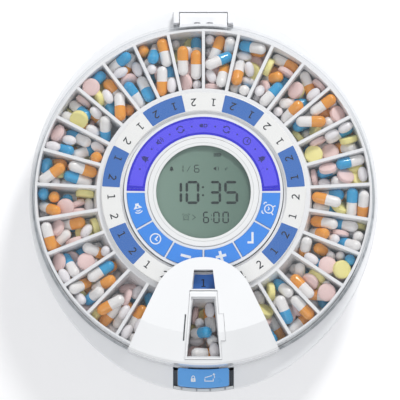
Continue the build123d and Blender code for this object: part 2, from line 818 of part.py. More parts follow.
def roof_sheet(low, high, face):
    """Sheet that follows the gate cover's roof, between two lifts above it, over a face."""
    with BuildPart() as sheet:
        add(turned_profile([(0, gate_top + low), (gate_flat_radius, gate_top + low),
                            (gate_rim, gate_shoulder + low), (gate_rim, gate_shoulder + high),
                            (gate_flat_radius, gate_top + high), (0, gate_top + high)]))
        add(column(face), mode=Mode.INTERSECT)
    return sheet.part


with BuildPart() as lid_dome:
    with Locations((0, 0, lid_foot)):
        Cylinder(lid_outer, lid_top - lid_foot, align=(Align.CENTER, Align.CENTER, Align.MIN))
    fillet(lid_dome.edges().group_by(Axis.Z)[-1], lid_round)
    with Locations((0, 0, lid_foot)):
        Cylinder(lid_inner, lid_under - lid_foot,
                 align=(Align.CENTER, Align.CENTER, Align.MIN), mode=Mode.SUBTRACT)
    add(column(gate_outline()), mode=Mode.SUBTRACT)

roof_line = [(0, gate_top), (gate_flat_radius, gate_top), (gate_rim, gate_shoulder),
             (gate_outer, gate_shoulder - gate_edge)]
slope_under_start = gate_flat_radius + gate_slope_under
under_fall = tan(radians(slope_under_angle)) * (lid_wall / 4 + gate_proud)
slope_under_end = gate_shoulder - slope_under_drop - under_fall
flap_slope = (flap_half_far - flap_half_near) / (flap_far - flap_near)


def flap_half(distance):
    """Half width of the flap's frame at a distance from the tray's axis."""
    return flap_half_near + flap_slope * (distance - flap_near)


def flap_outline(margin=0.0):
    """Plan outline of the flap with its ear, grown by a margin."""
    with BuildSketch() as outline:
        add(front_trapezoid(flap_near, flap_far, flap_half_near, flap_half_far))
        Polygon((0, -ear_near), (0, -ear_far), (flap_half(ear_far) + ear_width, -ear_far),
                (flap_half(ear_near) + ear_width, -ear_near), align=None)
        if margin:
            offset(amount=margin, kind=Kind.INTERSECTION)
    return outline.sketch


def slit_outline():
    """Plan outline of the slit beside the flap, across from its ear."""
    beside = flap_side_gap + slit_gap
    with BuildSketch() as outline:
        Polygon((-flap_half(ear_near) - beside, -ear_near), (-flap_half(ear_far) - beside, -ear_far),
                (-flap_half(ear_far) - beside - slit_width, -ear_far),
                (-flap_half(ear_near) - beside - slit_width, -ear_near), align=None)
    return outline.sketch


flap_pivot_z = gate_top - flap_pivot_depth
# The flap's top meets its barrel, and swings back past the gate's top when it is open.
flap_barrel = flap_pivot_depth + flap_thickness - flap_sink
pivot_groove = flap_barrel + flap_groove_gap
open_cos, open_sin = cos(radians(flap_open)), sin(radians(flap_open))
flap_swing = flap_barrel * open_sin - (flap_pivot_depth - flap_barrel * open_cos) / open_sin * open_cos
flap_room = flap_swing + flap_groove_gap
window_face = front_trapezoid(window_near, window_far, window_half_near, window_half_far)
hatch_face = front_trapezoid(hatch_near, hatch_far, hatch_half_near, hatch_half_far)
# Room under the gate cover's plate, inside its walls
with BuildPart() as gate_hollow:
    add(turned_profile([(0, lid_under), (0, gate_top - gate_plate),
                        (gate_flat_radius - hollow_inset, gate_top - gate_plate),
                        (slope_under_start - hollow_inset, lid_under)]))
    add(column(gate_outline(gate_wall)), mode=Mode.INTERSECT)

with BuildPart() as gate_cover:
    add(turned_profile(roof_line + [(gate_outer, gate_foot), (lid_inner, gate_foot),
                                    (lid_inner, slope_under_end), (slope_under_start, lid_under),
                                    (0, lid_under)]))
    add(column(gate_outline()), mode=Mode.INTERSECT)
    add(gate_hollow.part, mode=Mode.SUBTRACT)
    add(column(window_face), mode=Mode.SUBTRACT)
    add(column(hatch_face), mode=Mode.SUBTRACT)
    # Recess that the flap lies in, and the slit beside it
    add(roof_sheet(-flap_sink - flap_gap, gate_rise, flap_outline(flap_side_gap)), mode=Mode.SUBTRACT)
    add(roof_sheet(-flap_sink - flap_gap, gate_rise, slit_outline()), mode=Mode.SUBTRACT)
    # Groove for the flap's barrel, with room behind it for the flap's edge
    with Locations((0, -flap_near, flap_pivot_z)):
        Cylinder(pivot_groove, 2 * (flap_half_near + flap_side_gap), rotation=(0, 90, 0), mode=Mode.SUBTRACT)
        Cylinder(flap_pin_radius, 2 * (flap_half_near + flap_pin_overhang), rotation=(0, 90, 0),
                 mode=Mode.SUBTRACT)
        Box(2 * (flap_half_near + flap_side_gap), flap_room, 2 * above_all,
            align=(Align.CENTER, Align.MIN, Align.MIN), mode=Mode.SUBTRACT)
        Box(2 * (flap_half_near + flap_side_gap), flap_room, flap_barrel * -open_cos + flap_groove_gap,
            align=(Align.CENTER, Align.MIN, Align.MAX), mode=Mode.SUBTRACT)

with BuildPart() as flap_pin:
    with Locations((0, -flap_near, flap_pivot_z)):
        Cylinder(flap_pin_radius, 2 * (flap_half_near + flap_pin_overhang), rotation=(0, 90, 0))

pane_near, pane_far = flap_near + frame_head, flap_far - frame_width
pane_outline = front_trapezoid(pane_near, pane_far,
                               flap_half(pane_near) - frame_width, flap_half(pane_far) - frame_width)
with BuildPart() as dispensing_flap:
    add(roof_sheet(-flap_sink, flap_thickness - flap_sink, flap_outline()))
    with Locations((0, -flap_near, flap_pivot_z)):
        Cylinder(flap_barrel, 2 * flap_half_near, rotation=(0, 90, 0))
        Cylinder(flap_pin_radius + running_clearance, 4 * flap_half_near, rotation=(0, 90, 0),
                 mode=Mode.SUBTRACT)
    add(column(pane_outline), mode=Mode.SUBTRACT)

with BuildPart() as flap_pane:
    add(roof_sheet(pane_lift - flap_sink, pane_lift + pane_thickness - flap_sink, pane_outline))

with BuildPart() as lid_catch:
    with BuildSketch(Plane.XY.offset(gate_foot)):
        add(arc_band(lid_inner + catch_inset, gate_outer - catch_inset, 270 - catch_angle, 2 * catch_angle))
    extrude(amount=-catch_depth)

# ---- Lid hinge ----
leaf_bottom = hinge_z - leaf_drop
leaf_screw_spots = [(way * leaf_screw_x, hinge_z + leaf_screw_rise) for way in (-1, 1)]
with BuildPart() as hinge_leaf:
    with BuildSketch(Plane.XY.offset(leaf_bottom)):
        Circle(lid_outer + leaf_thickness)
        Circle(lid_outer, mode=Mode.SUBTRACT)
        with Locations((0, lid_outer)):
            Rectangle(2 * leaf_half_width, case_half_depth, mode=Mode.INTERSECT)
    extrude(amount=leaf_height)
    with Locations((0, hinge_y, hinge_z)):
        Cylinder(barrel_radius, 2 * leaf_half_width, rotation=(0, 90, 0))
    with Locations((0, hinge_y, hinge_z + barrel_radius)):
        Box(2 * leaf_half_width, hinge_y - lid_outer - leaf_thickness / 3, arm_thickness,
            align=(Align.CENTER, Align.MAX, Align.MAX))
    with Locations((0, hinge_y, hinge_z)):
        Cylinder(pin_radius + running_clearance, 4 * leaf_half_width, rotation=(0, 90, 0), mode=Mode.SUBTRACT)
    with BuildSketch(Plane.XZ.offset(-lid_outer - 2 * leaf_thickness)):
        with Locations(*leaf_screw_spots):
            Circle(small_screw_radius)
    extrude(amount=2 * leaf_thickness, mode=Mode.SUBTRACT)

with BuildPart() as leaf_screws:
    with BuildSketch(Plane.XZ.offset(-lid_outer - leaf_thickness)):
        with Locations(*leaf_screw_spots):
            Circle(small_head_radius)
    extrude(amount=-small_head_height)
    with BuildSketch(Plane.XZ.offset(-lid_outer - leaf_thickness)):
        with Locations(*leaf_screw_spots):
            Circle(small_screw_radius)
    extrude(amount=leaf_thickness - leaf_screw_short)

bracket_inner = notch_edge + recess_step
with BuildPart() as hinge_bracket:
    with BuildSketch(Plane.XY.offset(flange_bottom)):
        add(oval(edge_round / 2))
        with Locations((0, bracket_inner)):
            Rectangle(2 * latch_half_width, case_half_depth, align=(Align.CENTER, Align.MIN),
                      mode=Mode.INTERSECT)
    extrude(amount=bracket_plate)
    with BuildSketch(Plane.XY.offset(flange_bottom)):
        add(oval(edge_round / 2))
        with Locations((0, hinge_y + barrel_radius + bracket_barrel_gap)):
            Rectangle(2 * latch_half_width, case_half_depth, align=(Align.CENTER, Align.MIN),
                      mode=Mode.INTERSECT)
    extrude(amount=hinge_z - flange_bottom)
    for way in (-1, 1):
        with Locations((way * latch_half_width, hinge_y, flange_bottom)):
            Box(latch_half_width - leaf_half_width - leaf_gap, bracket_ear_depth,
                hinge_z + barrel_radius - flange_bottom,
                align=(Align.MAX if way > 0 else Align.MIN, Align.CENTER, Align.MIN))
    with Locations((0, hinge_y, hinge_z)):
        Cylinder(pin_radius, 2 * latch_half_width, rotation=(0, 90, 0), mode=Mode.SUBTRACT)

with BuildPart() as hinge_pin:
    with Locations((0, hinge_y, hinge_z)):
        Cylinder(pin_radius, 2 * latch_half_width - pin_short, rotation=(0, 90, 0))

# ---- Latch ----
button_bottom = recess_floor + button_travel + button_floor_gap
stem_y = -(gate_outer + button_gap + stem_depth / 2 + latch_wall + stem_gap)
stem_bottom = button_bottom - stem_length
cup_bottom = stem_bottom - spring_length - latch_wall


def button_outline():
    """Plan outline of the latch button, between the lid and the case's front edge."""
    with BuildSketch() as outline:
        add(oval(button_front_inset))
        Circle(gate_outer + button_gap, mode=Mode.SUBTRACT)
        with Locations((0, -case_half_depth)):
            Rectangle(2 * button_half_width, 2 * (case_half_depth - well_radius), mode=Mode.INTERSECT)
        fillet(outline.vertices(), button_corner)
    return outline.sketch


with BuildPart() as latch_button:
    with BuildSketch(Plane.XY.offset(button_bottom)):
        add(button_outline())
    extrude(amount=button_thickness)
    fillet(latch_button.edges().group_by(Axis.Z)[-1], button_round)
    with Locations((0, stem_y, button_bottom)):
        Box(stem_width, stem_depth, stem_length, align=(Align.CENTER, Align.CENTER, Align.MAX))

with BuildPart() as latch_housing:
    with BuildSketch(Plane.XY.offset(flange_bottom)):
        add(oval(edge_round / 2))
        with Locations((0, -notch_edge - recess_step)):
            Rectangle(2 * latch_half_width, case_half_depth, align=(Align.CENTER, Align.MAX),
                      mode=Mode.INTERSECT)
    extrude(amount=latch_plate)
    with Locations((0, stem_y, cup_bottom)):
        Box(stem_width + 2 * (stem_gap + latch_wall), stem_depth + 2 * (stem_gap + latch_wall),
            flange_bottom - cup_bottom, align=(Align.CENTER, Align.CENTER, Align.MIN))
    with Locations((0, stem_y, cup_bottom + latch_wall)):
        Box(stem_width + 2 * stem_gap, stem_depth + 2 * stem_gap, above_all,
            align=(Align.CENTER, Align.CENTER, Align.MIN), mode=Mode.SUBTRACT)

with BuildPart() as latch_spring:
    with BuildLine() as coil:
        Helix(pitch=(spring_length - 2 * spring_wire) / spring_turns, height=spring_length - 2 * spring_wire,
              radius=spring_radius, center=(0, stem_y, cup_bottom + latch_wall + spring_wire))
    with BuildSketch(Plane(origin=coil.line @ 0, z_dir=coil.line % 0)):
        Circle(spring_wire)
    sweep(is_frenet=True)

with BuildPart() as grip_ribs:
    with BuildSketch(Plane.XY.offset(recess_floor)):
        add(oval(rib_inset + edge_round / 2))
        add(oval(rib_inset + rib_depth), mode=Mode.SUBTRACT)
        with Locations((0, -case_half_depth)):
            Rectangle(2 * (latch_half_width - rib_side_gap), 2 * (case_half_depth - well_radius),
                      mode=Mode.INTERSECT)
        with Locations(*[(x, -case_half_depth) for x in rib_cuts]):
            Rectangle(rib_cut_width, case_half_depth, mode=Mode.SUBTRACT)
    extrude(amount=flange_top + rib_rise - recess_floor)

# ---- Write one file for each piece ----
pieces = {
    "base_shell": base_shell.part, "upper_case": upper_case.part, "hinge_cover": hinge_cover.part,
    "case_screws": case_screws.part, "rubber_feet": rubber_feet.part, "glide_ring": glide_ring.part,
    "battery_housing": battery_housing.part, "battery_cells": battery_cells.part,
    "battery_contacts": battery_contacts.part, "battery_door": battery_door.part,
    "motor": motor.part, "gearbox": gearbox.part, "motor_screws": motor_screws.part,
    "motor_shaft": motor_shaft.part, "drive_pinion": drive_pinion.part, "index_switch": index_switch.part,
    "tray_gear": tray_gear.part, "tray_floor": tray_floor.part, "tray_outer_wall": tray_outer_wall.part,
    "tray_inner_wall": tray_inner_wall.part, "tray_web": tray_web.part, "tray_dividers": tray_dividers.part,
    "dosage_ring": dosage_ring.part, "hub_housing": hub_housing.part, "main_board": main_board.part,
    "board_screws": board_screws.part, "display": display.part, "display_lens": display_lens.part,
    "display_bezel": display_bezel.part, "console_cover": console_cover.part,
    "alarm_light": alarm_light.part, "alarm_lamps": alarm_lamps.part, "key_membrane": key_membrane.part,
    "buzzer": buzzer.part, "tilt_switch": tilt_switch.part, "lid_dome": lid_dome.part,
    "gate_cover": gate_cover.part, "flap_pin": flap_pin.part, "dispensing_flap": dispensing_flap.part,
    "flap_pane": flap_pane.part, "lid_catch": lid_catch.part, "hinge_leaf": hinge_leaf.part,
    "leaf_screws": leaf_screws.part, "hinge_bracket": hinge_bracket.part, "hinge_pin": hinge_pin.part,
    "latch_button": latch_button.part, "latch_housing": latch_housing.part,
    "latch_spring": latch_spring.part, "grip_ribs": grip_ribs.part,
} | keys

os.makedirs("parts", exist_ok=True)
for label, piece in pieces.items():
    piece.label = label
    export_step(piece, f"parts/{label}.step")
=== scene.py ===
import math

import bmesh
import bpy
import numpy as np
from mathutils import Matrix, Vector


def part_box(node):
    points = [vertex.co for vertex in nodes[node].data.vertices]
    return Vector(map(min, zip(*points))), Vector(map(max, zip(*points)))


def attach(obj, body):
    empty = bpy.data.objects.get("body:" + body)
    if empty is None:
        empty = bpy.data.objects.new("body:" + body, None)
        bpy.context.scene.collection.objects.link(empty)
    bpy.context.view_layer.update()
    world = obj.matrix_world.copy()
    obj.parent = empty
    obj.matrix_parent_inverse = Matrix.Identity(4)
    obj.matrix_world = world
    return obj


# Automatic pill dispenser: print, icons, display segments, tablets and materials round the packed
# model. Plan sizes are in millimetres and become metres where meshes are made.

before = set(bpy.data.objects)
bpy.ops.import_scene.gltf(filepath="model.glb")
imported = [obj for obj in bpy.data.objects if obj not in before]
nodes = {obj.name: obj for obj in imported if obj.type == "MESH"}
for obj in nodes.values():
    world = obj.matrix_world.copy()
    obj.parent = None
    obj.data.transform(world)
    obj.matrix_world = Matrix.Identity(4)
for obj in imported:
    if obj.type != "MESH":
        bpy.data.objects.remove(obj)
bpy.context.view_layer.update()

MM = 0.001
COMPARTMENTS = 29
PITCH = 360 / COMPARTMENTS
FRONT = -90.0  # degrees, the compartment under the gate


def top_of(node):
    """Height of a node's top, in millimetres."""
    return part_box(node)[1].z / MM


def srgb(red, green, blue):
    """Linear colour from 8-bit display values."""
    return tuple((c / 12.92 if c <= 0.04045 else ((c + 0.055) / 1.055) ** 2.4)
                 for c in (red / 255, green / 255, blue / 255)) + (1.0,)


# ---- Materials ----
def new_material(name):
    material = bpy.data.materials.new(name)
    material.use_nodes = True
    return material, material.node_tree, material.node_tree.nodes["Principled BSDF"]


def noise(tree, scale, detail=2.0, stretch=(1, 1, 1)):
    """Noise in the object's own coordinates."""
    coords = tree.nodes.new("ShaderNodeTexCoord")
    mapping = tree.nodes.new("ShaderNodeMapping")
    mapping.inputs["Scale"].default_value = stretch
    texture = tree.nodes.new("ShaderNodeTexNoise")
    texture.inputs["Scale"].default_value = scale
    texture.inputs["Detail"].default_value = detail
    tree.links.new(coords.outputs["Object"], mapping.inputs["Vector"])
    tree.links.new(mapping.outputs["Vector"], texture.inputs["Vector"])
    return texture.outputs["Fac"]


def spread(tree, value, low, high, start=0.3, end=0.7):
    """A value from start to end mapped to low to high."""
    ranged = tree.nodes.new("ShaderNodeMapRange")
    for socket, number in (("From Min", start), ("From Max", end), ("To Min", low), ("To Max", high)):
        ranged.inputs[socket].default_value = number
    tree.links.new(value, ranged.inputs["Value"])
    return ranged.outputs["Result"]


def mixed(tree, factor, first, second):
    """Two colours mixed by a factor socket."""
    mix = tree.nodes.new("ShaderNodeMix")
    mix.data_type = "RGBA"
    mix.inputs["A"].default_value = first
    mix.inputs["B"].default_value = second
    tree.links.new(factor, mix.inputs["Factor"])
    return mix.outputs["Result"]


def scaled(colour, factor):
    return tuple(min(1.0, c * factor) for c in colour[:3]) + (1.0,)


def plastic(name, colour, roughness=0.3, mottle=0.03, grain=2200.0, relief=0.03, coat=0.0,
            metallic=0.0, broad=45.0, stretch=(1, 1, 1), glow=0.0, soft=0.0):
    """Moulded surface: slight tone drift, uneven gloss and a fine moulded grain."""
    material, tree, shader = new_material(name)
    tone = spread(tree, noise(tree, broad, 3.0, stretch), 0.0, 1.0)
    tree.links.new(mixed(tree, tone, scaled(colour, 1 - mottle), scaled(colour, 1 + mottle)),
                   shader.inputs["Base Color"])
    gloss = spread(tree, noise(tree, 4 * broad, 2.0, stretch), roughness - 0.04, roughness + 0.06)
    tree.links.new(gloss, shader.inputs["Roughness"])
    bump = tree.nodes.new("ShaderNodeBump")
    bump.inputs["Strength"].default_value = relief
    bump.inputs["Distance"].default_value = 0.0002
    tree.links.new(noise(tree, grain, 2.0, stretch), bump.inputs["Height"])
    tree.links.new(bump.outputs["Normal"], shader.inputs["Normal"])
    shader.inputs["Metallic"].default_value = metallic
    shader.inputs["Coat Weight"].default_value = coat
    shader.inputs["Coat Roughness"].default_value = 0.08
    if soft:
        shader.inputs["Subsurface Weight"].default_value = soft
        shader.inputs["Subsurface Radius"].default_value = (0.002, 0.002, 0.002)
    if glow:
        shader.inputs["Emission Color"].default_value = colour
        shader.inputs["Emission Strength"].default_value = glow
    return material


def clear(name, colour, alpha, roughness=0.04):
    """Clear moulded plastic."""
    material, tree, shader = new_material(name)
    shader.inputs["Base Color"].default_value = colour
    shader.inputs["Alpha"].default_value = alpha
    gloss = spread(tree, noise(tree, 120.0), roughness, roughness + 0.03)
    tree.links.new(gloss, shader.inputs["Roughness"])
    return material


WHITE = srgb(246, 247, 249)
white_shell = plastic("white_shell", WHITE, 0.32, mottle=0.008, relief=0.012, coat=0.08, broad=25.0)
white_gate = plastic("white_gate", srgb(247, 248, 249), 0.2, mottle=0.008, relief=0.015, coat=0.4)
white_tray = plastic("white_tray", srgb(243, 243, 244), 0.3, mottle=0.015, relief=0.03)
ring_white = plastic("ring_white", srgb(249, 248, 245), 0.36, mottle=0.012, relief=0.05)
ring_blue = plastic("ring_blue", srgb(56, 112, 192), 0.38, mottle=0.03, relief=0.05)
print_black = plastic("print_black", srgb(18, 18, 24), 0.45, mottle=0.1, relief=0.05)
inner_grey = plastic("inner_grey", srgb(205, 207, 210), 0.5, relief=0.12)
dark_plastic = plastic("dark_plastic", srgb(38, 40, 44), 0.42, relief=0.1)
acetal = plastic("acetal", srgb(233, 230, 218), 0.42, relief=0.05, soft=0.15)
key_blue = plastic("key_blue", srgb(56, 144, 242), 0.34, mottle=0.02, relief=0.05)
button_blue = plastic("button_blue", srgb(100, 172, 240), 0.3, mottle=0.02, relief=0.04, coat=0.2)
icon_white = plastic("icon_white", srgb(244, 248, 252), 0.4, mottle=0.01, relief=0.04)
violet_edge = plastic("violet_edge", srgb(30, 10, 206), 0.3, mottle=0.04, relief=0.02, coat=0.1, glow=0.06)
violet_field = plastic("violet_field", srgb(90, 78, 242), 0.3, mottle=0.03, relief=0.02, coat=0.1, glow=0.06)
violet_print = plastic("violet_print", srgb(34, 24, 128), 0.4, mottle=0.04, relief=0.04)
bezel_white = plastic("bezel_white", srgb(252, 252, 251), 0.2, mottle=0.008, relief=0.015, coat=0.4)
grip_pale = plastic("grip_pale", srgb(222, 224, 224), 0.45, relief=0.12)
rubber_grey = plastic("rubber_grey", srgb(66, 67, 70), 0.75, mottle=0.08, relief=0.25)
steel = plastic("steel", srgb(176, 178, 182), 0.28, mottle=0.06, metallic=1.0, relief=0.04, broad=220.0)
cell_print = plastic("cell_print", srgb(52, 76, 110), 0.3, mottle=0.15, metallic=0.4, relief=0.03)
board_green = plastic("board_green", srgb(30, 104, 62), 0.4, mottle=0.15, relief=0.15, broad=300.0)
lamp_clear = plastic("lamp_clear", srgb(236, 238, 246), 0.12, mottle=0.02, coat=0.5)
lid_clear = clear("lid_clear", srgb(158, 168, 176), 0.055)
pane_clear = clear("pane_clear", srgb(120, 128, 134), 0.05)
lens_clear = clear("lens_clear", srgb(92, 110, 104), 0.05)


def display_material():
    """Liquid crystal behind its polariser: grey-green, a little darker to the right."""
    material, tree, shader = new_material("display_crystal")
    coords = tree.nodes.new("ShaderNodeTexCoord")
    axes = tree.nodes.new("ShaderNodeSeparateXYZ")
    tree.links.new(coords.outputs["Object"], axes.inputs["Vector"])
    across = spread(tree, axes.outputs["X"], 0.0, 1.0, -0.026, 0.026)
    tree.links.new(mixed(tree, across, srgb(140, 168, 152), srgb(104, 133, 117)),
                   shader.inputs["Base Color"])
    gloss = spread(tree, noise(tree, 3000.0), 0.42, 0.55)
    tree.links.new(gloss, shader.inputs["Roughness"])
    bump = tree.nodes.new("ShaderNodeBump")
    bump.inputs["Strength"].default_value = 0.05
    bump.inputs["Distance"].default_value = 0.0001
    tree.links.new(noise(tree, 5000.0), bump.inputs["Height"])
    tree.links.new(bump.outputs["Normal"], shader.inputs["Normal"])
    return material


display_crystal = display_material()
crystal_dark = plastic("crystal_dark", srgb(14, 26, 22), 0.5, mottle=0.1, relief=0.03)
crystal_soft = plastic("crystal_soft", srgb(62, 82, 72), 0.5, mottle=0.1, relief=0.03)

NODE_MATERIALS = {
    white_shell: ("base_shell", "upper_case", "hinge_cover", "hub_housing", "console_cover", "battery_door",
                  "hinge_leaf", "hinge_bracket"),
    white_gate: ("gate_cover", "dispensing_flap", "lid_catch"),
    bezel_white: ("display_bezel",),
    white_tray: ("tray_floor", "tray_outer_wall", "tray_inner_wall", "tray_web", "tray_dividers"),
    ring_white: ("dosage_ring",),
    inner_grey: ("battery_housing", "latch_housing", "glide_ring", "gearbox"),
    acetal: ("tray_gear", "drive_pinion"),
    dark_plastic: ("buzzer", "tilt_switch", "index_switch"),
    lid_clear: ("lid_dome",),
    pane_clear: ("flap_pane",),
    lens_clear: ("display_lens",),
    key_blue: ("volume_key", "clock_key", "minus_key", "plus_key", "confirm_key", "alarm_key"),
    button_blue: ("latch_button",),
    violet_edge: ("alarm_light",),
    display_crystal: ("display",),
    grip_pale: ("grip_ribs",),
    rubber_grey: ("rubber_feet", "key_membrane"),
    steel: ("case_screws", "motor_screws", "board_screws", "leaf_screws", "hinge_pin", "flap_pin",
            "latch_spring", "battery_contacts", "motor", "motor_shaft"),
    cell_print: ("battery_cells",),
    board_green: ("main_board",),
    lamp_clear: ("alarm_lamps",),
}
for finish, names in NODE_MATERIALS.items():
    for name in names:
        node = nodes[name]
        node.data.materials.clear()
        node.data.materials.append(finish)


# ---- Plan outlines, as lists of points in millimetres ----
def arc(x, y, radius, start, sweep, steps=None):
    """Points along an arc, angles in degrees."""
    steps = steps or max(3, int(abs(sweep) / 8) + 1)
    return [(x + radius * math.cos(math.radians(start + sweep * i / steps)),
             y + radius * math.sin(math.radians(start + sweep * i / steps))) for i in range(steps + 1)]


def disc(x, y, radius):
    return arc(x, y, radius, 0, 360, 36)[:-1]


def hoop(x, y, radius, width):
    """Ring outline, as an outer loop and a hole."""
    return [disc(x, y, radius + width / 2), disc(x, y, radius - width / 2)]


def stroke(points, width):
    """Outline of a line of some width through points, mitred at its corners."""
    line = np.array(points, float)
    ways = np.diff(line, axis=0)
    ways /= np.linalg.norm(ways, axis=1)[:, None]
    sides = np.stack([-ways[:, 1], ways[:, 0]], 1)
    mitres = np.vstack([sides[:1], sides[:-1] + sides[1:], sides[-1:]])
    mitres[1:-1] /= 1 + (sides[:-1] * sides[1:]).sum(1)[:, None]
    left, right = line + mitres * width / 2, line - mitres * width / 2
    return [tuple(p) for p in left] + [tuple(p) for p in right[::-1]]


def box_loop(left, bottom, right, top):
    return [(left, bottom), (right, bottom), (right, top), (left, top)]


def rounded(left, bottom, right, top, radius):
    """Rectangle with rounded corners."""
    return (arc(right - radius, top - radius, radius, 0, 90)
            + arc(left + radius, top - radius, radius, 90, 90)
            + arc(left + radius, bottom + radius, radius, 180, 90)
            + arc(right - radius, bottom + radius, radius, 270, 90))


def about_axis(radius, angle):
    """Place on a circle about the tray's axis."""
    return radius * math.cos(math.radians(angle)), radius * math.sin(math.radians(angle))


def band(inner, outer, start, sweep, corner=0.0, steps=24):
    """Part of a ring about the tray's axis, with rounded corners."""
    if not corner:
        return arc(0, 0, outer, start, sweep, steps) + arc(0, 0, inner, start + sweep, -sweep, steps)
    loop = []
    for radius, side, first in ((outer, 1, start), (inner, -1, start + sweep)):
        middle = radius - side * corner
        turn = side * math.degrees(math.asin(corner / middle))
        x, y = about_axis(middle, first + turn)
        heading = first + turn + (0 if side > 0 else 180)
        loop += arc(x, y, corner, heading - 90, 90, 5)
        loop += arc(0, 0, radius, first + turn, side * sweep - 2 * turn, 24)[1:-1]
        x, y = about_axis(middle, first + side * sweep - turn)
        loop += arc(x, y, corner, heading + side * sweep - 2 * turn, 90, 5)
    return loop


def placed(shapes, x, y, angle=0.0, size=1.0):
    """Shapes turned, scaled and moved in plan."""
    c, s = math.cos(math.radians(angle)) * size, math.sin(math.radians(angle)) * size
    return [[[(x + c * px - s * py, y + s * px + c * py) for px, py in loop] for loop in shape]
            for shape in shapes]


def on_ring(shapes, radius, angle, size):
    """Shapes on a circle about the axis, their tops towards it."""
    return placed(shapes, *about_axis(radius, angle), angle + 90, size)


# ---- Pieces ----
def add_piece(name, mesh, finish, body, smooth=False):
    obj = bpy.data.objects.new(name, mesh)
    bpy.context.scene.collection.objects.link(obj)
    mesh.materials.append(finish)
    if smooth:
        mesh.shade_smooth()
    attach(obj, body)
    return obj


def plates(name, shapes, bottom, thickness, finish, body):
    """Thin flat plates over plan shapes; each shape is an outline and its holes."""
    merged = bmesh.new()
    for shape in shapes:
        curve = bpy.data.curves.new(name, "CURVE")
        curve.dimensions = "2D"
        curve.fill_mode = "BOTH"
        curve.extrude = thickness * MM / 2
        for loop in shape:
            spline = curve.splines.new("POLY")
            spline.points.add(len(loop) - 1)
            spline.points.foreach_set("co", [c for x, y in loop for c in (x * MM, y * MM, 0.0, 1.0)])
            spline.use_cyclic_u = True
        holder = bpy.data.objects.new(name, curve)
        mesh = bpy.data.meshes.new_from_object(holder)
        merged.from_mesh(mesh)
        bpy.data.objects.remove(holder)
        bpy.data.curves.remove(curve)
        bpy.data.meshes.remove(mesh)
    bmesh.ops.remove_doubles(merged, verts=merged.verts, dist=1e-7)
    bmesh.ops.translate(merged, verts=merged.verts, vec=(0, 0, (bottom + thickness / 2) * MM))
    bmesh.ops.recalc_face_normals(merged, faces=merged.faces)
    mesh = bpy.data.meshes.new(name)
    merged.to_mesh(mesh)
    merged.free()
    return add_piece(name, mesh, finish, body)


# ---- Digits and icons, drawn about the origin in a box from -1 to 1 ----
def digit_one():
    return [[[(-0.54, -1), (0.56, -1), (0.56, -0.76), (0.17, -0.76), (0.17, 1), (-0.08, 1),
              (-0.52, 0.9), (-0.52, 0.64), (-0.13, 0.73), (-0.13, -0.76), (-0.54, -0.76)]]]


def digit_two():
    top = arc(0.0, 0.42, 0.48, 155, -190, 16)
    return [[stroke([*top, (-0.55, -0.88), (0.6, -0.88)], 0.3)]]


def minus_icon():
    return [[rounded(-1, -0.26, 1, 0.26, 0.1)]]


def plus_icon():
    a, b = 0.26, 1.0
    return [[[(-a, -b), (a, -b), (a, -a), (b, -a), (b, a), (a, a), (a, b), (-a, b), (-a, a), (-b, a),
              (-b, -a), (-a, -a)]]]


def tick_icon():
    return [[stroke([(-1.05, 0.05), (-0.35, -0.65), (1.1, 0.8)], 0.42)]]


def clock_icon():
    return [hoop(0, 0, 0.88, 0.2), [stroke([(0, 0.62), (0, -0.04), (0.48, -0.04)], 0.2)]]


def alarm_icon():
    ears = [[stroke(arc(side * 0.72, 0.76, 0.26, 90 - side * 45 - 80, 160), 0.18)] for side in (-1, 1)]
    feet = [[stroke([(side * 0.52, -0.58), (side * 0.82, -0.95)], 0.2)] for side in (-1, 1)]
    return [hoop(0, 0, 0.72, 0.17), [stroke([(-0.3, 0.12), (0, -0.08), (0.34, 0.2)], 0.15)]] + ears + feet


def sound_icon():
    cone = [(-1.0, -0.32), (-0.62, -0.32), (-0.08, -0.78), (-0.08, 0.78), (-0.62, 0.32), (-1.0, 0.32)]
    waves = [[stroke(arc(-0.1, 0, radius, -48, 96), 0.17)] for radius in (0.48, 0.86)]
    return [[cone, rounded(-0.5, -0.16, -0.22, 0.16, 0.1)]] + waves


def bell_icon():
    body = arc(0, 0.18, 0.52, 0, 180, 12) + [(-0.56, -0.3), (-0.82, -0.62), (0.82, -0.62), (0.56, -0.3)]
    return [[body], [disc(0, -0.82, 0.17)], [disc(0, 0.8, 0.13)]]


def lock_icon():
    shackle = stroke([(-0.42, 0.08), (-0.42, 0.45), *arc(0, 0.45, 0.42, 180, -180, 12), (0.42, 0.08)], 0.22)
    return [[rounded(-0.72, -0.95, 0.72, 0.12, 0.16), rounded(-0.12, -0.62, 0.12, -0.2, 0.08)], [shackle]]


def lift_icon():
    """A lid that swings up from its box, with an arrow."""
    tray = stroke([(-1.5, 0.05), (-1.5, -0.75), (1.1, -0.75), (1.1, 0.05)], 0.24)
    lid = stroke([(-1.5, 0.32), (0.75, 1.0)], 0.24)
    shaft = stroke(arc(-1.5, 0.1, 3.05, 2, 20, 6), 0.22)
    x, y = arc(-1.5, 0.1, 3.05, 22, 1, 1)[0]
    head = [(x - 0.42, y - 0.12), (x + 0.42, y + 0.06), (x - 0.12, y + 0.55)]
    return [[tray], [lid], [shaft], [head]]


def turn_icon():
    """Two arrows round a circle."""
    parts = []
    for start in (20, 200):
        parts.append([stroke(arc(0, 0, 0.78, start, 118), 0.24)])
        x, y = arc(0, 0, 0.78, start + 118, 1, 1)[0]
        away = math.radians(start + 118)
        c, s = math.cos(away), math.sin(away)
        parts.append([[(x + 0.36 * c, y + 0.36 * s), (x - 0.36 * c, y - 0.36 * s),
                       (x - 0.56 * s, y + 0.56 * c)]])
    return parts


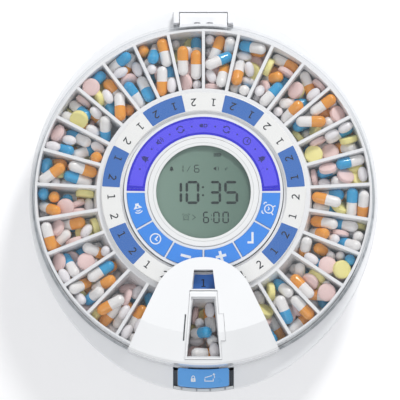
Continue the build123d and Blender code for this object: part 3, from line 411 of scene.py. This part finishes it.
def capsule_icon():
    left = arc(-0.55, 0, 0.42, 90, 180, 10) + [(-0.08, -0.42), (-0.08, 0.42)]
    right = arc(0.55, 0, 0.42, -90, 180, 10) + [(0.08, 0.42), (0.08, -0.42)]
    inner = arc(0.5, 0, 0.24, -90, 180, 10) + [(0.26, 0.24), (0.26, -0.24)]
    return [[left], [right, inner]]


# ---- Dosage ring ----
ring_top = top_of("dosage_ring")
FIELD_THICKNESS, PRINT_THICKNESS = 0.08, 0.05
DIGIT_HALF = 2.1
DIGIT_RADIUS = 50.5
FIELD_INNER, FIELD_OUTER, FIELD_CORNER = 45.9, 55.6, 0.5
FIELD_GAP = 0.12  # degrees between two fields
blue_fields, white_fields, digits = [], [], []
for position in range(COMPARTMENTS):
    middle = FRONT + position * PITCH
    pair = position // 2
    if position < COMPARTMENTS - 1:
        shape = digit_one() if position % 2 == 0 else digit_two()
        digits += on_ring(shape, DIGIT_RADIUS, middle, DIGIT_HALF)
    if position % 2 == 0 and position < COMPARTMENTS - 1:
        start = middle - PITCH / 2 + FIELD_GAP / 2
        run = [band(FIELD_INNER, FIELD_OUTER, start, 2 * PITCH - FIELD_GAP, FIELD_CORNER)]
        (blue_fields if pair % 2 == 0 else white_fields).append(run)
plates("ring_fields_blue", blue_fields, ring_top, FIELD_THICKNESS, ring_blue, "tray")
plates("ring_fields_white", white_fields, ring_top, FIELD_THICKNESS, ring_white, "tray")
plates("ring_digits", digits, ring_top + FIELD_THICKNESS, PRINT_THICKNESS, print_black, "tray")

# ---- Keys ----
KEY_ICONS = {
    "volume_key": (195, sound_icon, 3.1), "clock_key": (225, clock_icon, 3.2),
    "minus_key": (255, minus_icon, 2.9), "plus_key": (285, plus_icon, 2.9),
    "confirm_key": (315, tick_icon, 2.8), "alarm_key": (345, alarm_icon, 3.2),
}
ICON_RADIUS = 37.0
for key, (angle, icon, size) in KEY_ICONS.items():
    plates(key + "_icon", on_ring(icon(), ICON_RADIUS, angle, size), top_of(key), PRINT_THICKNESS,
           icon_white, key)

# ---- Alarm light: lighter field inside a dark edge, with pictograms where a legend would be ----
light_top = top_of("alarm_light")
VIOLET_INNER, VIOLET_OUTER, VIOLET_CORNER = 33.4, 40.9, 0.4
VIOLET_START, VIOLET_SWEEP = 5.2, 169.6  # degrees
VIOLET_THICKNESS = 0.06
violet = band(VIOLET_INNER, VIOLET_OUTER, VIOLET_START, VIOLET_SWEEP, VIOLET_CORNER)
plates("alarm_light_field", [[violet]], light_top, VIOLET_THICKNESS, violet_field, "case")
LEGEND_RADIUS, LEGEND_SIZE, DOT_RADIUS = 37.1, 2.3, 0.45
LEGEND_START, LEGEND_SWEEP = 150, 120  # degrees, from left to right
legend = []
LEGEND = (bell_icon, sound_icon, turn_icon, capsule_icon, turn_icon, clock_icon, bell_icon)
for index, icon in enumerate(LEGEND):
    angle = LEGEND_START - index * LEGEND_SWEEP / (len(LEGEND) - 1)
    legend += placed(icon(), *about_axis(LEGEND_RADIUS, angle), angle - 90, LEGEND_SIZE)
for angle in range(160, 0, -20):
    legend.append([disc(*about_axis(LEGEND_RADIUS, angle), DOT_RADIUS)])
# The light's dark rim runs on to the keys
RIM_INNER, RIM_OUTER, RIM_THICKNESS = 32.1, 42.1, 0.1
RIM_STARTS, RIM_SWEEP = (0.8, 177.1), 2.1  # degrees
rims = [[band(RIM_INNER, RIM_OUTER, start, RIM_SWEEP)] for start in RIM_STARTS]
plates("alarm_light_ends", rims, top_of("console_cover"), RIM_THICKNESS, violet_edge, "case")
plates("alarm_light_pictograms", legend, light_top + VIOLET_THICKNESS, PRINT_THICKNESS, violet_print,
       "case")

# ---- Display ----
display_top = top_of("display")
# The tray's axis in the picture's frame, and pixels to a millimetre across and down it
PIXEL_X, PIXEL_Y, PIXEL = 203.46, 193.15, 1.826
SLANT = 1.786


def at_pixel(px, py):
    """Place on the display for a place in the picture's 400-wide frame."""
    return (px - PIXEL_X) / PIXEL, (PIXEL_Y - py) / SLANT


def segment_digit(value, left, right, top, bottom, width):
    """Seven-segment digit in a box."""
    lit = {"0": "abcdef", "1": "bc", "3": "abcdg", "5": "acdfg", "6": "acdefg"}[value]
    half, gap = width / 2, width * 0.14
    middle = (top + bottom) / 2
    x0, x1, y0, y1 = left + half, right - half, bottom + half, top - half
    lines = {"a": ((x0, y1), (x1, y1)), "d": ((x0, y0), (x1, y0)), "g": ((x0, middle), (x1, middle)),
             "f": ((x0, middle), (x0, y1)), "b": ((x1, middle), (x1, y1)),
             "e": ((x0, y0), (x0, middle)), "c": ((x1, y0), (x1, middle))}
    shapes = []
    for key in lit:
        (ax, ay), (bx, by) = lines[key]
        if ay == by:
            shapes.append([[(ax + gap, ay), (ax + gap + half, ay + half), (bx - gap - half, ay + half),
                            (bx - gap, ay), (bx - gap - half, ay - half), (ax + gap + half, ay - half)]])
        else:
            shapes.append([[(ax, ay + gap), (ax - half, ay + gap + half), (ax - half, by - gap - half),
                            (ax, by - gap), (ax + half, by - gap - half), (ax + half, ay + gap + half)]])
    return shapes


def digits_at(text, spans, top, bottom, width):
    """Digits at picture columns, between two picture rows."""
    shapes = []
    for value, (left, right) in zip(text, spans):
        x0, y0 = at_pixel(left, bottom)
        x1, y1 = at_pixel(right, top)
        shapes += segment_digit(value, x0, x1, y1, y0, width)
    return shapes


# Columns of the digits and rows of their tops and bottoms in that frame, and stroke widths
TIME_SPANS = ((171.0, 182.2), (185.5, 199.4), (209.0, 221.2), (224.2, 238.3))
TIME_TOP, TIME_BOTTOM, TIME_STROKE = 181.5, 204.6, 1.45
TIME_COLON, TIME_DOTS, TIME_DOT = 203.0, (187.8, 195.8), 0.62
NEXT_SPANS = ((203.0, 209.0), (213.2, 219.7), (222.4, 228.9))
NEXT_TOP, NEXT_BOTTOM, NEXT_STROKE = 212.1, 223.7, 0.74
NEXT_COLON, NEXT_DOTS, NEXT_DOT = 211.4, (215.8, 219.8), 0.32
COUNT_SPANS = ((179.4, 183.4), (194.0, 199.4))
COUNT_TOP, COUNT_BOTTOM, COUNT_STROKE = 165.4, 173.2, 0.5
SLASH, SLASH_STROKE = ((187.2, 172.0), (190.2, 166.8)), 0.3
ARROW, ARROW_STROKE = ((192.4, 215.4), (195.4, 217.8), (192.4, 220.2)), 0.4
# Places of the icons in that frame, and their sizes in millimetres
BELL_AT, BELL_SIZE = (171.5, 169.4), 1.55
SPEAKER_AT, SPEAKER_SIZE = (216.6, 169.2), 1.6
WAVE_AT, WAVE_RADIUS, WAVE_STROKE = (215.6, 169.2), 1.6, 0.35
ALARM_AT, ALARM_SIZE = (186.0, 217.8), 1.9
CAPSULE_AT, CAPSULE_SIZE, CAPSULE_TILT = (226.4, 169.2), 1.1, 45
BATTERY_AT = (217.5, 155.5)
BATTERY_BARS, BAR_PITCH = 3, 1.05
SEGMENT_THICKNESS = 0.03

segments = digits_at("1035", TIME_SPANS, TIME_TOP, TIME_BOTTOM, TIME_STROKE)
for row in TIME_DOTS:
    segments.append([disc(*at_pixel(TIME_COLON, row), TIME_DOT)])
small = digits_at("600", NEXT_SPANS, NEXT_TOP, NEXT_BOTTOM, NEXT_STROKE)
for row in NEXT_DOTS:
    small.append([disc(*at_pixel(NEXT_COLON, row), NEXT_DOT)])
small += placed(bell_icon(), *at_pixel(*BELL_AT), 0, BELL_SIZE)
small += digits_at("16", COUNT_SPANS, COUNT_TOP, COUNT_BOTTOM, COUNT_STROKE)
small.append([stroke([at_pixel(*spot) for spot in SLASH], SLASH_STROKE)])
small += placed([[sound_icon()[0][0]]], *at_pixel(*SPEAKER_AT), 0, SPEAKER_SIZE)
small.append([stroke(arc(*at_pixel(*WAVE_AT), WAVE_RADIUS, -40, 80), WAVE_STROKE)])
x, y = at_pixel(*BATTERY_AT)
small.append([rounded(x - 2.1, y - 1.0, x + 1.8, y + 1.0, 0.2),
              rounded(x - 1.8, y - 0.72, x + 1.5, y + 0.72, 0.1)])
small.append([box_loop(x + 1.86, y - 0.4, x + 2.2, y + 0.4)])
for bar in range(BATTERY_BARS):
    small.append([box_loop(x - 1.6 + bar * BAR_PITCH, y - 0.52, x - 0.85 + bar * BAR_PITCH, y + 0.52)])
soft = placed(alarm_icon(), *at_pixel(*ALARM_AT), 0, ALARM_SIZE)
soft.append([stroke([at_pixel(*spot) for spot in ARROW], ARROW_STROKE)])
soft += placed(capsule_icon(), *at_pixel(*CAPSULE_AT), CAPSULE_TILT, CAPSULE_SIZE)
plates("display_segments", segments, display_top, SEGMENT_THICKNESS, crystal_dark, "case")
plates("display_small_segments", small, display_top, SEGMENT_THICKNESS, crystal_dark, "case")
plates("display_faint_segments", soft, display_top, SEGMENT_THICKNESS, crystal_soft, "case")

# Fine lines on and round the bezel, both painted shade: a darker line in the groove round it and a paler
# grey one along its inner edge
bezel_groove_shade = plastic("bezel_groove_shade", srgb(170, 164, 154), 0.5, mottle=0.05)
bezel_lip_shade = plastic("bezel_lip_shade", srgb(205, 207, 204), 0.4, mottle=0.03)
LINE_THICKNESS = 0.04
EDGE_LINE = hoop(0, 0, 30.55, 0.3)
INNER_LINE = hoop(0, 0, 27.6, 0.25)
plates("bezel_edge_line", [EDGE_LINE], top_of("console_cover"), LINE_THICKNESS, bezel_groove_shade, "case")
plates("bezel_inner_line", [INNER_LINE], top_of("display_bezel"), LINE_THICKNESS, bezel_lip_shade, "case")

# ---- Latch: padlock and a lid that lifts ----
latch_top = top_of("latch_button")
LATCH_Y, LOCK_X, LIFT_X, MARK_SIZE = -101.1, -5.6, 3.4, 1.75
marks = (placed(lock_icon(), LOCK_X, LATCH_Y, 0, MARK_SIZE)
         + placed(lift_icon(), LIFT_X, LATCH_Y, 0, MARK_SIZE))
plates("latch_marks", marks, latch_top, PRINT_THICKNESS, icon_white, "latch")

# Shade in the latch's recess, beside its button, and in the slit beside the flap
recess_dark = plastic("recess_dark", srgb(84, 88, 94), 0.5, mottle=0.15, relief=0.1)
RECESS_FLOOR = 31.0
STRIP_X, STRIP_HALF, STRIP_FRONT, STRIP_BACK = 15.4, 1.15, -105.2, -95.9
strips = [[box_loop(side * STRIP_X - STRIP_HALF, STRIP_FRONT, side * STRIP_X + STRIP_HALF, STRIP_BACK)]
          for side in (-1, 1)]
plates("recess_shade", strips, RECESS_FLOOR, PRINT_THICKNESS, recess_dark, "case")


def roof_strip(name, stations, depth, thickness, finish, body):
    """Thin strip that follows the gate's roof; stations are y, roof height and the strip's two sides."""
    verts = [(x * MM, y * MM, (roof - depth + lift) * MM)
             for y, roof, left, right in stations for lift in (0, thickness) for x in (left, right)]
    faces = [(0, 1, 3, 2)]
    for k in range(0, 4 * (len(stations) - 1), 4):
        faces += [(k, k + 4, k + 5, k + 1), (k + 2, k + 3, k + 7, k + 6), (k, k + 2, k + 6, k + 4),
                  (k + 1, k + 5, k + 7, k + 3)]
    last = 4 * (len(stations) - 1)
    faces.append((last, last + 2, last + 3, last + 1))
    mesh = bpy.data.meshes.new(name)
    mesh.from_pydata(verts, [], faces)
    shell = bmesh.new()
    shell.from_mesh(mesh)
    bmesh.ops.recalc_face_normals(shell, faces=shell.faces)
    shell.to_mesh(mesh)
    shell.free()
    return add_piece(name, mesh, finish, body)


gate_top = top_of("gate_cover")

# Painted reflections on the clear lid's edges: opaque grey lines round its top and along its foot, where its
# edges catch the light
GATE_SWEEP = 52.6  # degrees of the lid that the gate takes
LID_START, LID_SWEEP, LID_STEPS = FRONT + GATE_SWEEP / 2, 360 - GATE_SWEEP, 120
lid_edge_reflection = plastic("lid_edge_reflection", srgb(196, 200, 204), 0.3, mottle=0.03, coat=0.3)
TOP_EDGE = band(92.75, 93.0, LID_START, LID_SWEEP, steps=LID_STEPS)
FOOT_EDGE = band(93.5, 94.7, LID_START, LID_SWEEP, steps=LID_STEPS)
plates("lid_edge_top", [[TOP_EDGE]], top_of("lid_dome"), LINE_THICKNESS, lid_edge_reflection, "lid")
plates("lid_edge_foot", [[FOOT_EDGE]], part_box("lid_dome")[0].z / MM - PRINT_THICKNESS, PRINT_THICKNESS,
       lid_edge_reflection, "lid")
# The slit beside the flap: its ends, where the roof starts to slope, and how far it falls to a millimetre
SLIT_BACK, SLOPE_START, SLIT_FRONT = 68.6, 79.0, 82.6
ROOF_FALL, SLIT_DEPTH = 0.487, 0.76
slit = [(-SLIT_BACK, gate_top, -10.05, -9.35), (-SLOPE_START, gate_top, -10.85, -10.15),
        (-SLIT_FRONT, gate_top - (SLIT_FRONT - SLOPE_START) * ROOF_FALL, -11.1, -10.4)]
roof_strip("slit_shade", slit, SLIT_DEPTH, PRINT_THICKNESS, recess_dark, "lid")


# ---- Tablets and capsules in the tray ----
CAPSULE_LENGTH, CAPSULE_RADIUS = 16.7, 3.15
DIVIDER_HALF = 0.85
INNER_TOP, INNER_SLOPE, OUTER_WALL = 58.7, 3.5, 91.3
floor_z = top_of("tray_floor")
tray_top = top_of("tray_outer_wall")
# Where tablets are dropped: between two radii, clear of the dividers, one above another
DROP_INNER, DROP_OUTER, DROP_MARGIN = 67, 84, 4.5
DROP_HEIGHT, DROP_PITCH = 8, 5
# How they settle: speed kept and gained at each step, its limit, steps without it, passes and push
SPEED_KEPT, SPEED_GAINED, TOP_SPEED = 0.93, 0.12, 1.5
STILL_STEPS, PASSES, PUSH = 30, 3, 0.75


def line_of(length, radius, count):
    """Balls along a line, which stand for a capsule while the tablets settle."""
    reach = length / 2 - radius
    return [(s, 0.0, 0.0) for s in np.linspace(-reach, reach, count)], radius


def disc_of(diameter, thickness):
    """Balls round a circle, which stand for a flat tablet."""
    radius = thickness / 2
    reach = diameter / 2 - radius
    rim = [(reach * math.cos(a), reach * math.sin(a), 0.0) for a in np.linspace(0, 2 * math.pi, 7)[:-1]]
    return [(0.0, 0.0, 0.0)] + rim, radius


KINDS = {
    "orange": (4, *line_of(CAPSULE_LENGTH, CAPSULE_RADIUS, 5)),
    "blue": (3, *line_of(CAPSULE_LENGTH, CAPSULE_RADIUS, 5)),
    "rose": (3, *disc_of(9.8, 3.6)),
    "yellow": (2, *disc_of(10.2, 3.4)),
    "white": (4, *line_of(8.6, 2.7, 3)),
}


def keep_inside(place, radii):
    """Moves balls back between the floor and walls of their compartment, which lies along +X."""
    half = math.radians(PITCH / 2)
    x, y, z = place[..., 0], place[..., 1], place[..., 2]
    for side in (-1, 1):
        push = (DIVIDER_HALF + radii - x * math.sin(half) + side * y * math.cos(half)).clip(0)
        x += push * math.sin(half)
        y -= side * push * math.cos(half)
    reach = np.hypot(x, y)
    low = INNER_TOP + INNER_SLOPE * (1 - ((z - floor_z) / (tray_top - floor_z)).clip(0, 1)) + radii
    share = np.clip(reach, low, OUTER_WALL - radii) / reach
    x *= share
    y *= share
    np.maximum(z, floor_z + radii, out=z)


def settle(steps, seed):
    """Drops the tablets of every compartment and lets them come to rest: balls push each other and
    the walls, and each tablet's balls keep their shape."""
    rng = np.random.default_rng(seed)
    rest, radii, owner, spans = [], [], [], []
    for name, (count, offsets, radius) in KINDS.items():
        for _ in range(count):
            spans.append((name, len(rest), len(rest) + len(offsets)))
            rest += offsets
            radii += [radius] * len(offsets)
            owner += [len(spans)] * len(offsets)
    rest, radii, owner = np.array(rest, np.float32), np.array(radii, np.float32), np.array(owner)
    apart = owner[:, None] != owner[None, :]
    reach = radii[:, None] + radii[None, :]
    place = np.zeros((COMPARTMENTS, len(rest), 3), np.float32)
    for compartment in range(COMPARTMENTS):
        order = rng.permutation(len(spans))
        for index, (_, first, last) in enumerate(spans):
            turn = np.linalg.qr(rng.normal(size=(3, 3)))[0]
            turn[:, 0] *= np.sign(np.linalg.det(turn))
            x = rng.uniform(DROP_INNER, DROP_OUTER)
            y = rng.uniform(-1, 1) * (x * math.tan(math.radians(PITCH / 2)) - DROP_MARGIN)
            z = floor_z + DROP_HEIGHT + DROP_PITCH * order[index]
            place[compartment, first:last] = rest[first:last] @ turn.T + (x, y, z)
    groups = {}
    for name, first, last in spans:
        groups.setdefault(name, []).append(np.arange(first, last))
    speed = np.zeros_like(place)
    for step in range(steps):
        before = place.copy()
        if step < steps - STILL_STEPS:
            speed *= SPEED_KEPT
            speed[..., 2] -= SPEED_GAINED
            place += np.clip(speed, -TOP_SPEED, TOP_SPEED)
        for _ in range(PASSES):
            gap = place[:, :, None] - place[:, None, :]
            far = np.sqrt((gap * gap).sum(-1)) + 1e-6
            over = np.where(apart, reach - far, 0.0).clip(0)
            place += ((over / far)[..., None] * gap).sum(2) * PUSH
            keep_inside(place, radii)
            for name, rows in groups.items():
                rows = np.array(rows)
                body = place[:, rows]
                centre = body.mean(2, keepdims=True)
                shape = rest[rows[0]]
                if np.ptp(shape[:, 1]) < 1e-6:
                    axis = ((body - centre) * shape[:, :1]).sum(2, keepdims=True)
                    axis /= np.linalg.norm(axis, axis=-1, keepdims=True) + 1e-9
                    place[:, rows] = centre + axis * shape[:, :1]
                else:
                    spin = np.einsum("ckmi,mj->ckij", body - centre, shape) + 1e-4 * np.eye(3)
                    u, _, v = np.linalg.svd(spin)
                    u[..., :, 2] *= np.linalg.det(u @ v)[..., None]
                    place[:, rows] = centre + np.einsum("ckij,mj->ckmi", u @ v, shape)
        speed = place - before
    return place, spans, radii


def turned_mesh(profile, segments):
    """Vertices and faces of a solid turned about X from axial place and radius pairs."""
    turns = np.linspace(0, 2 * math.pi, segments, endpoint=False)
    verts = [(profile[0][0], 0.0, 0.0)]
    for place, radius in profile[1:-1]:
        verts += [(place, radius * math.cos(t), radius * math.sin(t)) for t in turns]
    verts.append((profile[-1][0], 0.0, 0.0))
    rings = len(profile) - 2
    last = len(verts) - 1
    faces = []
    for i in range(segments):
        j = (i + 1) % segments
        faces.append((0, 1 + j, 1 + i))
        for k in range(rings - 1):
            a = 1 + k * segments
            faces.append((a + i, a + j, a + segments + j, a + segments + i))
        b = 1 + (rings - 1) * segments
        faces.append((b + i, b + j, last))
    return np.array(verts, float), faces


def capsule_half(side, length, radius, reach):
    """One half of a capsule, from its round end to the joint; the cap's edge stands a little proud."""
    ends = [(reach - radius + radius * math.sin(a), radius * math.cos(a))
            for a in np.linspace(0, math.pi / 2, 7)]
    profile = [(length, 0.0), (length, radius - 0.12), (length + 0.12, radius)] + ends
    return [(side * p, r) for p, r in profile]


TABLET_SEGMENTS, DISC_SEGMENTS = 20, 28
BODY_INSET = 0.13  # the body of a capsule goes inside its cap
half_length = CAPSULE_LENGTH / 2
SHAPES = {
    "cap": turned_mesh(capsule_half(1, 0.3, CAPSULE_RADIUS, half_length), TABLET_SEGMENTS),
    "body": turned_mesh(capsule_half(-1, -0.6, CAPSULE_RADIUS - BODY_INSET, half_length), TABLET_SEGMENTS),
    "rose": turned_mesh([(-1.8, 0), (-1.75, 2.2), (-1.5, 3.9), (-1.15, 4.6), (-0.9, 4.85), (0.9, 4.85),
                         (1.15, 4.6), (1.5, 3.9), (1.75, 2.2), (1.8, 0)], DISC_SEGMENTS),
    "yellow": turned_mesh([(-1.7, 0), (-1.7, 4.2), (-1.62, 4.6), (-1.3, 5.0), (-1.1, 5.08), (1.1, 5.08),
                           (1.3, 5.0), (1.62, 4.6), (1.7, 4.2), (1.7, 0)], DISC_SEGMENTS),
    "white": turned_mesh([(4.3 * math.sin(a), 2.7 * math.cos(a) ** 0.8 if abs(a) < 1.57 else 0.0)
                          for a in np.linspace(-math.pi / 2, math.pi / 2, 13)], TABLET_SEGMENTS),
}
SETTLED_STEPS, QUICK_STEPS, SEED = 170, 60, 5
FILL_TOP = tray_top + 0.4
place, spans, radii = settle(SETTLED_STEPS, SEED)


def tablet_frame(balls, flat):
    """Centre and axes of a tablet from its balls; the first axis is its turning axis."""
    centre = balls.mean(0)
    if flat:
        axis = np.cross(balls[1] - centre, balls[2] - centre)
    else:
        axis = balls[-1] - balls[0]
    axis /= np.linalg.norm(axis)
    side = np.cross(axis, (0.31, 0.77, 0.55))
    side /= np.linalg.norm(side)
    return centre, np.stack([axis, side, np.cross(axis, side)], 1)


parts = {}
rng = np.random.default_rng(SEED)
for compartment in range(COMPARTMENTS):
    turn = math.radians(FRONT + compartment * PITCH)
    spin = np.array([[math.cos(turn), -math.sin(turn), 0], [math.sin(turn), math.cos(turn), 0], [0, 0, 1]])
    for name, first, last in spans:
        balls = place[compartment, first:last].astype(float)
        if (balls[:, 2] + radii[first:last]).max() > FILL_TOP:
            continue
        centre, axes = tablet_frame(balls, name in ("rose", "yellow"))
        if name in ("orange", "blue"):
            axes[:, :2] *= rng.choice((-1, 1))
            made = (("cap", "capsule_" + name), ("body", "capsule_white"))
        else:
            made = ((name, "tablet_" + name),)
        for shape, group in made:
            verts, faces = SHAPES[shape]
            held = parts.setdefault(group, ([], [], [0]))
            held[0].append((verts @ axes.T + centre) @ spin.T * MM)
            held[1].extend([tuple(v + held[2][0] for v in face) for face in faces])
            held[2][0] += len(verts)

TABLET_FINISHES = {
    "capsule_orange": plastic("gelatine_orange", srgb(241, 160, 52), 0.16, mottle=0.06, relief=0.01,
                              coat=0.5, soft=0.15, broad=90.0),
    "capsule_blue": plastic("gelatine_blue", srgb(52, 164, 216), 0.16, mottle=0.06, relief=0.01,
                            coat=0.5, soft=0.15, broad=90.0),
    "capsule_white": plastic("gelatine_white", srgb(243, 240, 238), 0.18, mottle=0.02, relief=0.01,
                             coat=0.5, soft=0.15),
    "tablet_rose": plastic("tablet_rose", srgb(238, 208, 204), 0.5, mottle=0.05, relief=0.3, grain=1500.0,
                           soft=0.1),
    "tablet_yellow": plastic("tablet_yellow", srgb(244, 234, 156), 0.5, mottle=0.05, relief=0.3,
                             grain=1500.0, soft=0.1),
    "tablet_white": plastic("tablet_white", srgb(242, 238, 240), 0.35, mottle=0.03, relief=0.1,
                            grain=1500.0, soft=0.1),
}
SHARP_ANGLE = 38  # degrees
for group, (verts, faces, _) in parts.items():
    mesh = bpy.data.meshes.new(group)
    mesh.from_pydata(np.vstack(verts).tolist(), [], faces)
    mesh.update()
    shell = bmesh.new()
    shell.from_mesh(mesh)
    bmesh.ops.recalc_face_normals(shell, faces=shell.faces)
    shell.to_mesh(mesh)
    shell.free()
    add_piece(group + "s", mesh, TABLET_FINISHES[group], "tray", smooth=True)
    mesh.set_sharp_from_angle(angle=math.radians(SHARP_ANGLE))


# ---- Floor, light and camera ----
FLOOR_REACH, FLOOR_GLOW = 6.0, 0.22
WORLD_STRENGTH = 0.6
LIGHT_AIM = (0, 0, 0.04)


def floor_material():
    """Plain pale floor that is white to the camera and keeps shadows."""
    material, tree, shader = new_material("floor")
    shader.inputs["Base Color"].default_value = (0.82, 0.82, 0.83, 1)
    shader.inputs["Roughness"].default_value = 0.9
    shader.inputs["Specular IOR Level"].default_value = 0.1
    path = tree.nodes.new("ShaderNodeLightPath")
    glow = tree.nodes.new("ShaderNodeEmission")
    both = tree.nodes.new("ShaderNodeAddShader")
    seen = [path.outputs[name] for name in ("Is Camera Ray", "Is Glossy Ray", "Is Transmission Ray")]
    total = None
    for output in seen:
        if total is None:
            total = output
            continue
        most = tree.nodes.new("ShaderNodeMath")
        most.operation = "MAXIMUM"
        tree.links.new(total, most.inputs[0])
        tree.links.new(output, most.inputs[1])
        total = most.outputs[0]
    part = tree.nodes.new("ShaderNodeMath")
    part.operation = "MULTIPLY"
    part.inputs[1].default_value = FLOOR_GLOW
    tree.links.new(total, part.inputs[0])
    tree.links.new(part.outputs[0], glow.inputs["Strength"])
    output = tree.nodes["Material Output"]
    tree.links.new(shader.outputs[0], both.inputs[0])
    tree.links.new(glow.outputs[0], both.inputs[1])
    tree.links.new(both.outputs[0], output.inputs["Surface"])
    return material


floor_mesh = bpy.data.meshes.new("floor")
floor_mesh.from_pydata([(-FLOOR_REACH, -FLOOR_REACH, 0), (FLOOR_REACH, -FLOOR_REACH, 0),
                        (FLOOR_REACH, FLOOR_REACH, 0), (-FLOOR_REACH, FLOOR_REACH, 0)], [], [(0, 1, 2, 3)])
floor_mesh.materials.append(floor_material())
floor = bpy.data.objects.new("floor", floor_mesh)
bpy.context.scene.collection.objects.link(floor)

scene = bpy.context.scene
world = bpy.data.worlds.new("studio")
scene.world = world
world.use_nodes = True
tree = world.node_tree
background = tree.nodes["Background"]
path = tree.nodes.new("ShaderNodeLightPath")
white = tree.nodes.new("ShaderNodeBackground")
white.inputs["Color"].default_value = (1, 1, 1, 1)
white.inputs["Strength"].default_value = 1.0
background.inputs["Color"].default_value = (0.97, 0.98, 1.0, 1)
background.inputs["Strength"].default_value = WORLD_STRENGTH
swap = tree.nodes.new("ShaderNodeMixShader")
tree.links.new(path.outputs["Is Camera Ray"], swap.inputs["Fac"])
tree.links.new(background.outputs[0], swap.inputs[1])
tree.links.new(white.outputs[0], swap.inputs[2])
tree.links.new(swap.outputs[0], tree.nodes["World Output"].inputs["Surface"])


def area_light(name, spot, aim, size, power, colour=(1, 1, 1)):
    light = bpy.data.lights.new(name, "AREA")
    light.shape = "DISK"
    light.size = size
    light.energy = power
    light.color = colour
    obj = bpy.data.objects.new(name, light)
    scene.collection.objects.link(obj)
    obj.location = spot
    obj.rotation_mode = "QUATERNION"
    obj.rotation_quaternion = (Vector(aim) - Vector(spot)).to_track_quat("-Z", "Y")
    return obj


area_light("key", (0.4, 0.95, 0.9), LIGHT_AIM, 0.3, 10.0)
area_light("fill", (-0.25, -0.9, 1.1), LIGHT_AIM, 0.9, 3.5)

CAMERA_DISTANCE, CAMERA_ELEVATION = 1.5, 79.04
TARGET = Vector((0, 0, 0.0465))
camera = bpy.data.cameras.new("camera")
camera.lens = 246.24
camera.sensor_width = 36.0
camera.shift_x = -0.00865
camera.shift_y = -0.01825
camera.clip_start, camera.clip_end = 0.05, 20.0
viewer = bpy.data.objects.new("camera", camera)
scene.collection.objects.link(viewer)
rise = math.radians(CAMERA_ELEVATION)
back = Vector((0, -math.cos(rise), math.sin(rise)))
viewer.location = TARGET + back * CAMERA_DISTANCE
viewer.rotation_mode = "QUATERNION"
viewer.rotation_quaternion = (-back).to_track_quat("-Z", "Y")
scene.camera = viewer
scene.view_settings.view_transform = "Standard"
